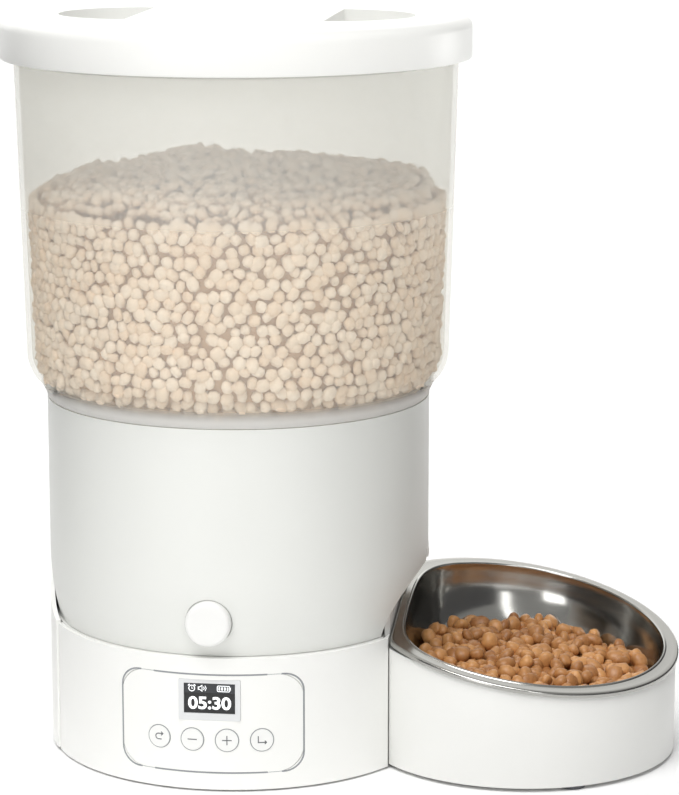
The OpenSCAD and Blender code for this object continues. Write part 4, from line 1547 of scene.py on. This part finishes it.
@dataclass
class SoftEdges:
    """Moulding radii on the shells that stay as the CAD has them."""

    widths_mm: tuple[tuple[str, float], ...] = (
        ("bowl_stand", 0.7), ("key_back", 0.4), ("key_minus", 0.4), ("key_plus", 0.4),
        ("key_enter", 0.4))

    def build(self) -> None:
        """Round the shells' edges with modifiers, which leave the CAD meshes as they are."""
        for name, width in self.widths_mm:
            node = NODES[name]
            weld = node.modifiers.new("weld", "WELD")
            weld.merge_threshold = 0.01 * MM
            soften(node, width * MM).harden_normals = True


# ------------------------------------------------------------------ studio
@dataclass(frozen=True)
class SoftBox:
    """A rectangular lamp, which points at a place."""

    name: str
    place: Place
    aim: Place
    wide: float
    high: float
    watts: float

    def hang(self) -> None:
        """Put the lamp in the scene."""
        data = bpy.data.lights.new(self.name, "AREA")
        data.shape, data.size, data.size_y = "RECTANGLE", self.wide, self.high
        data.energy = self.watts
        obj = stand(self.name, data)
        obj.location = self.place
        obj.rotation_euler = (Vector(self.aim)
                              - Vector(self.place)).to_track_quat("-Z", "Y").to_euler()


@dataclass(frozen=True)
class Card:
    """An upright grey card that shades the feeder, unseen by the camera."""

    name: str
    place: Place
    high: float
    deep: float

    def stand_up(self, wardrobe: Wardrobe) -> None:
        """Put the card in the scene.

        Args:
            wardrobe: Where its finish comes from.
        """
        clear()
        bpy.ops.mesh.primitive_plane_add(size=1, location=self.place,
                                         rotation=(0, math.radians(90), 0))
        card = bpy.context.object
        card.name, card.visible_camera = self.name, False
        card.scale = (self.high, self.deep, 1)
        set_down()
        wardrobe.dress(card, CARD_GREY)


# Matt paper: a floor without a seam
FLOOR_WHITE = Finish("floor_paper", "#fcfcfc", 0.9, drift=0.01, drift_mm=400)
# Matt board: soft grey shading along the feeder's sides
CARD_GREY = Finish("card_grey", "#5c5c5e", 0.9)

SOFT_BOXES = (
    SoftBox("front_box", (-0.85, -2.4, 0.3), (0, 0, 0.2), 0.8, 0.8, 7.5),
    SoftBox("rim_right", (1.25, 0.95, 0.2), (0, 0, 0.1), 0.5, 0.5, 3),
    SoftBox("strip_front", (0.62, -1.5, 0.75), (0.1, 0, 0.06), 0.22, 1.1, 2.2),
)
CARDS = (Card("card_right", (0.29, 0.0, 0.11), 0.14, 0.7),
         Card("card_left", (-0.46, -0.12, 0.28), 0.5, 0.65))


@dataclass
class Studio:
    """The floor, the cards, the lights and the camera."""

    wardrobe: Wardrobe
    camera_place: Place = (0.2016, -1.594, 0.516)
    camera_turn_deg: Place = (78.55, 0.0, 7.3)
    lens_mm: float = 137.5
    floor_wide: float = 60.0
    floor_z: float = -0.2 * MM
    sun_from: Place = (-0.12, -0.44, 0.89)
    sun_spread_deg: float = 40.0
    sun_power: float = 2.12
    glow_from: Place = (-0.6, 0.8, 0.0)
    glow_dim: float = 0.42
    glow_bright: float = 1.9

    def floor(self) -> None:
        """Lay the floor."""
        clear()
        bpy.ops.mesh.primitive_grid_add(x_subdivisions=8, y_subdivisions=8, size=self.floor_wide,
                                        location=(0, 0, self.floor_z))
        floor = bpy.context.object
        floor.name = "floor"
        set_down()
        self.wardrobe.dress(floor, FLOOR_WHITE)

    def sun(self) -> None:
        """Hang the wide overhead light."""
        data = bpy.data.lights.new("overhead", "SUN")
        data.energy, data.angle = self.sun_power, math.radians(self.sun_spread_deg)
        turn = Vector(self.sun_from).to_track_quat("Z", "Y").to_euler()
        stand("overhead", data).rotation_euler = turn

    def sky(self) -> None:
        """Light the room all round, most of all from behind and left."""
        world = bpy.data.worlds.new("studio")
        world.use_nodes = True
        tree = world.node_tree
        tree.nodes.clear()
        facing = add_node(tree, "VectorMath", {"operation": "DOT_PRODUCT", 1: self.glow_from},
                          {0: add_node(tree, "TexCoord").outputs["Generated"]})
        glow = add_node(tree, "MapRange",
                        {"interpolation_type": "SMOOTHSTEP", "From Min": 0.3, "From Max": 0.95,
                         "To Min": self.glow_dim, "To Max": self.glow_bright},
                        {"Value": facing.outputs["Value"]})
        sky = add_node(tree, "Background", {"Color": linear("#f4f4f2")},
                       {"Strength": glow.outputs[0]})
        add_node(tree, "OutputWorld", {}, {"Surface": sky.outputs[0]})
        bpy.context.scene.world = world

    def camera(self) -> None:
        """Set up the camera."""
        data = bpy.data.cameras.new("camera")
        data.lens = self.lens_mm
        camera = stand("camera", data)
        camera.location = self.camera_place
        camera.rotation_euler = [math.radians(a) for a in self.camera_turn_deg]
        bpy.context.scene.camera = camera

    def build(self) -> None:
        """Set up the studio."""
        self.floor()
        self.sun()
        for box in SOFT_BOXES:
            box.hang()
        for card in CARDS:
            card.stand_up(self.wardrobe)
        self.sky()
        self.camera()
        bpy.context.scene.view_settings.view_transform = "Standard"


def main() -> None:
    """Build the feeder's looks, sub-assembly by sub-assembly."""
    logging.basicConfig(level=logging.INFO, format="%(name)s: %(message)s")
    wardrobe = Wardrobe()
    Studio(wardrobe).build()
    wardrobe.dress_nodes()
    for assembly in (Tank, SteelBowl, Lid, Knob, Panel):
        assembly(wardrobe).build()
    SoftEdges().build()


if __name__ == "__main__":
    main()
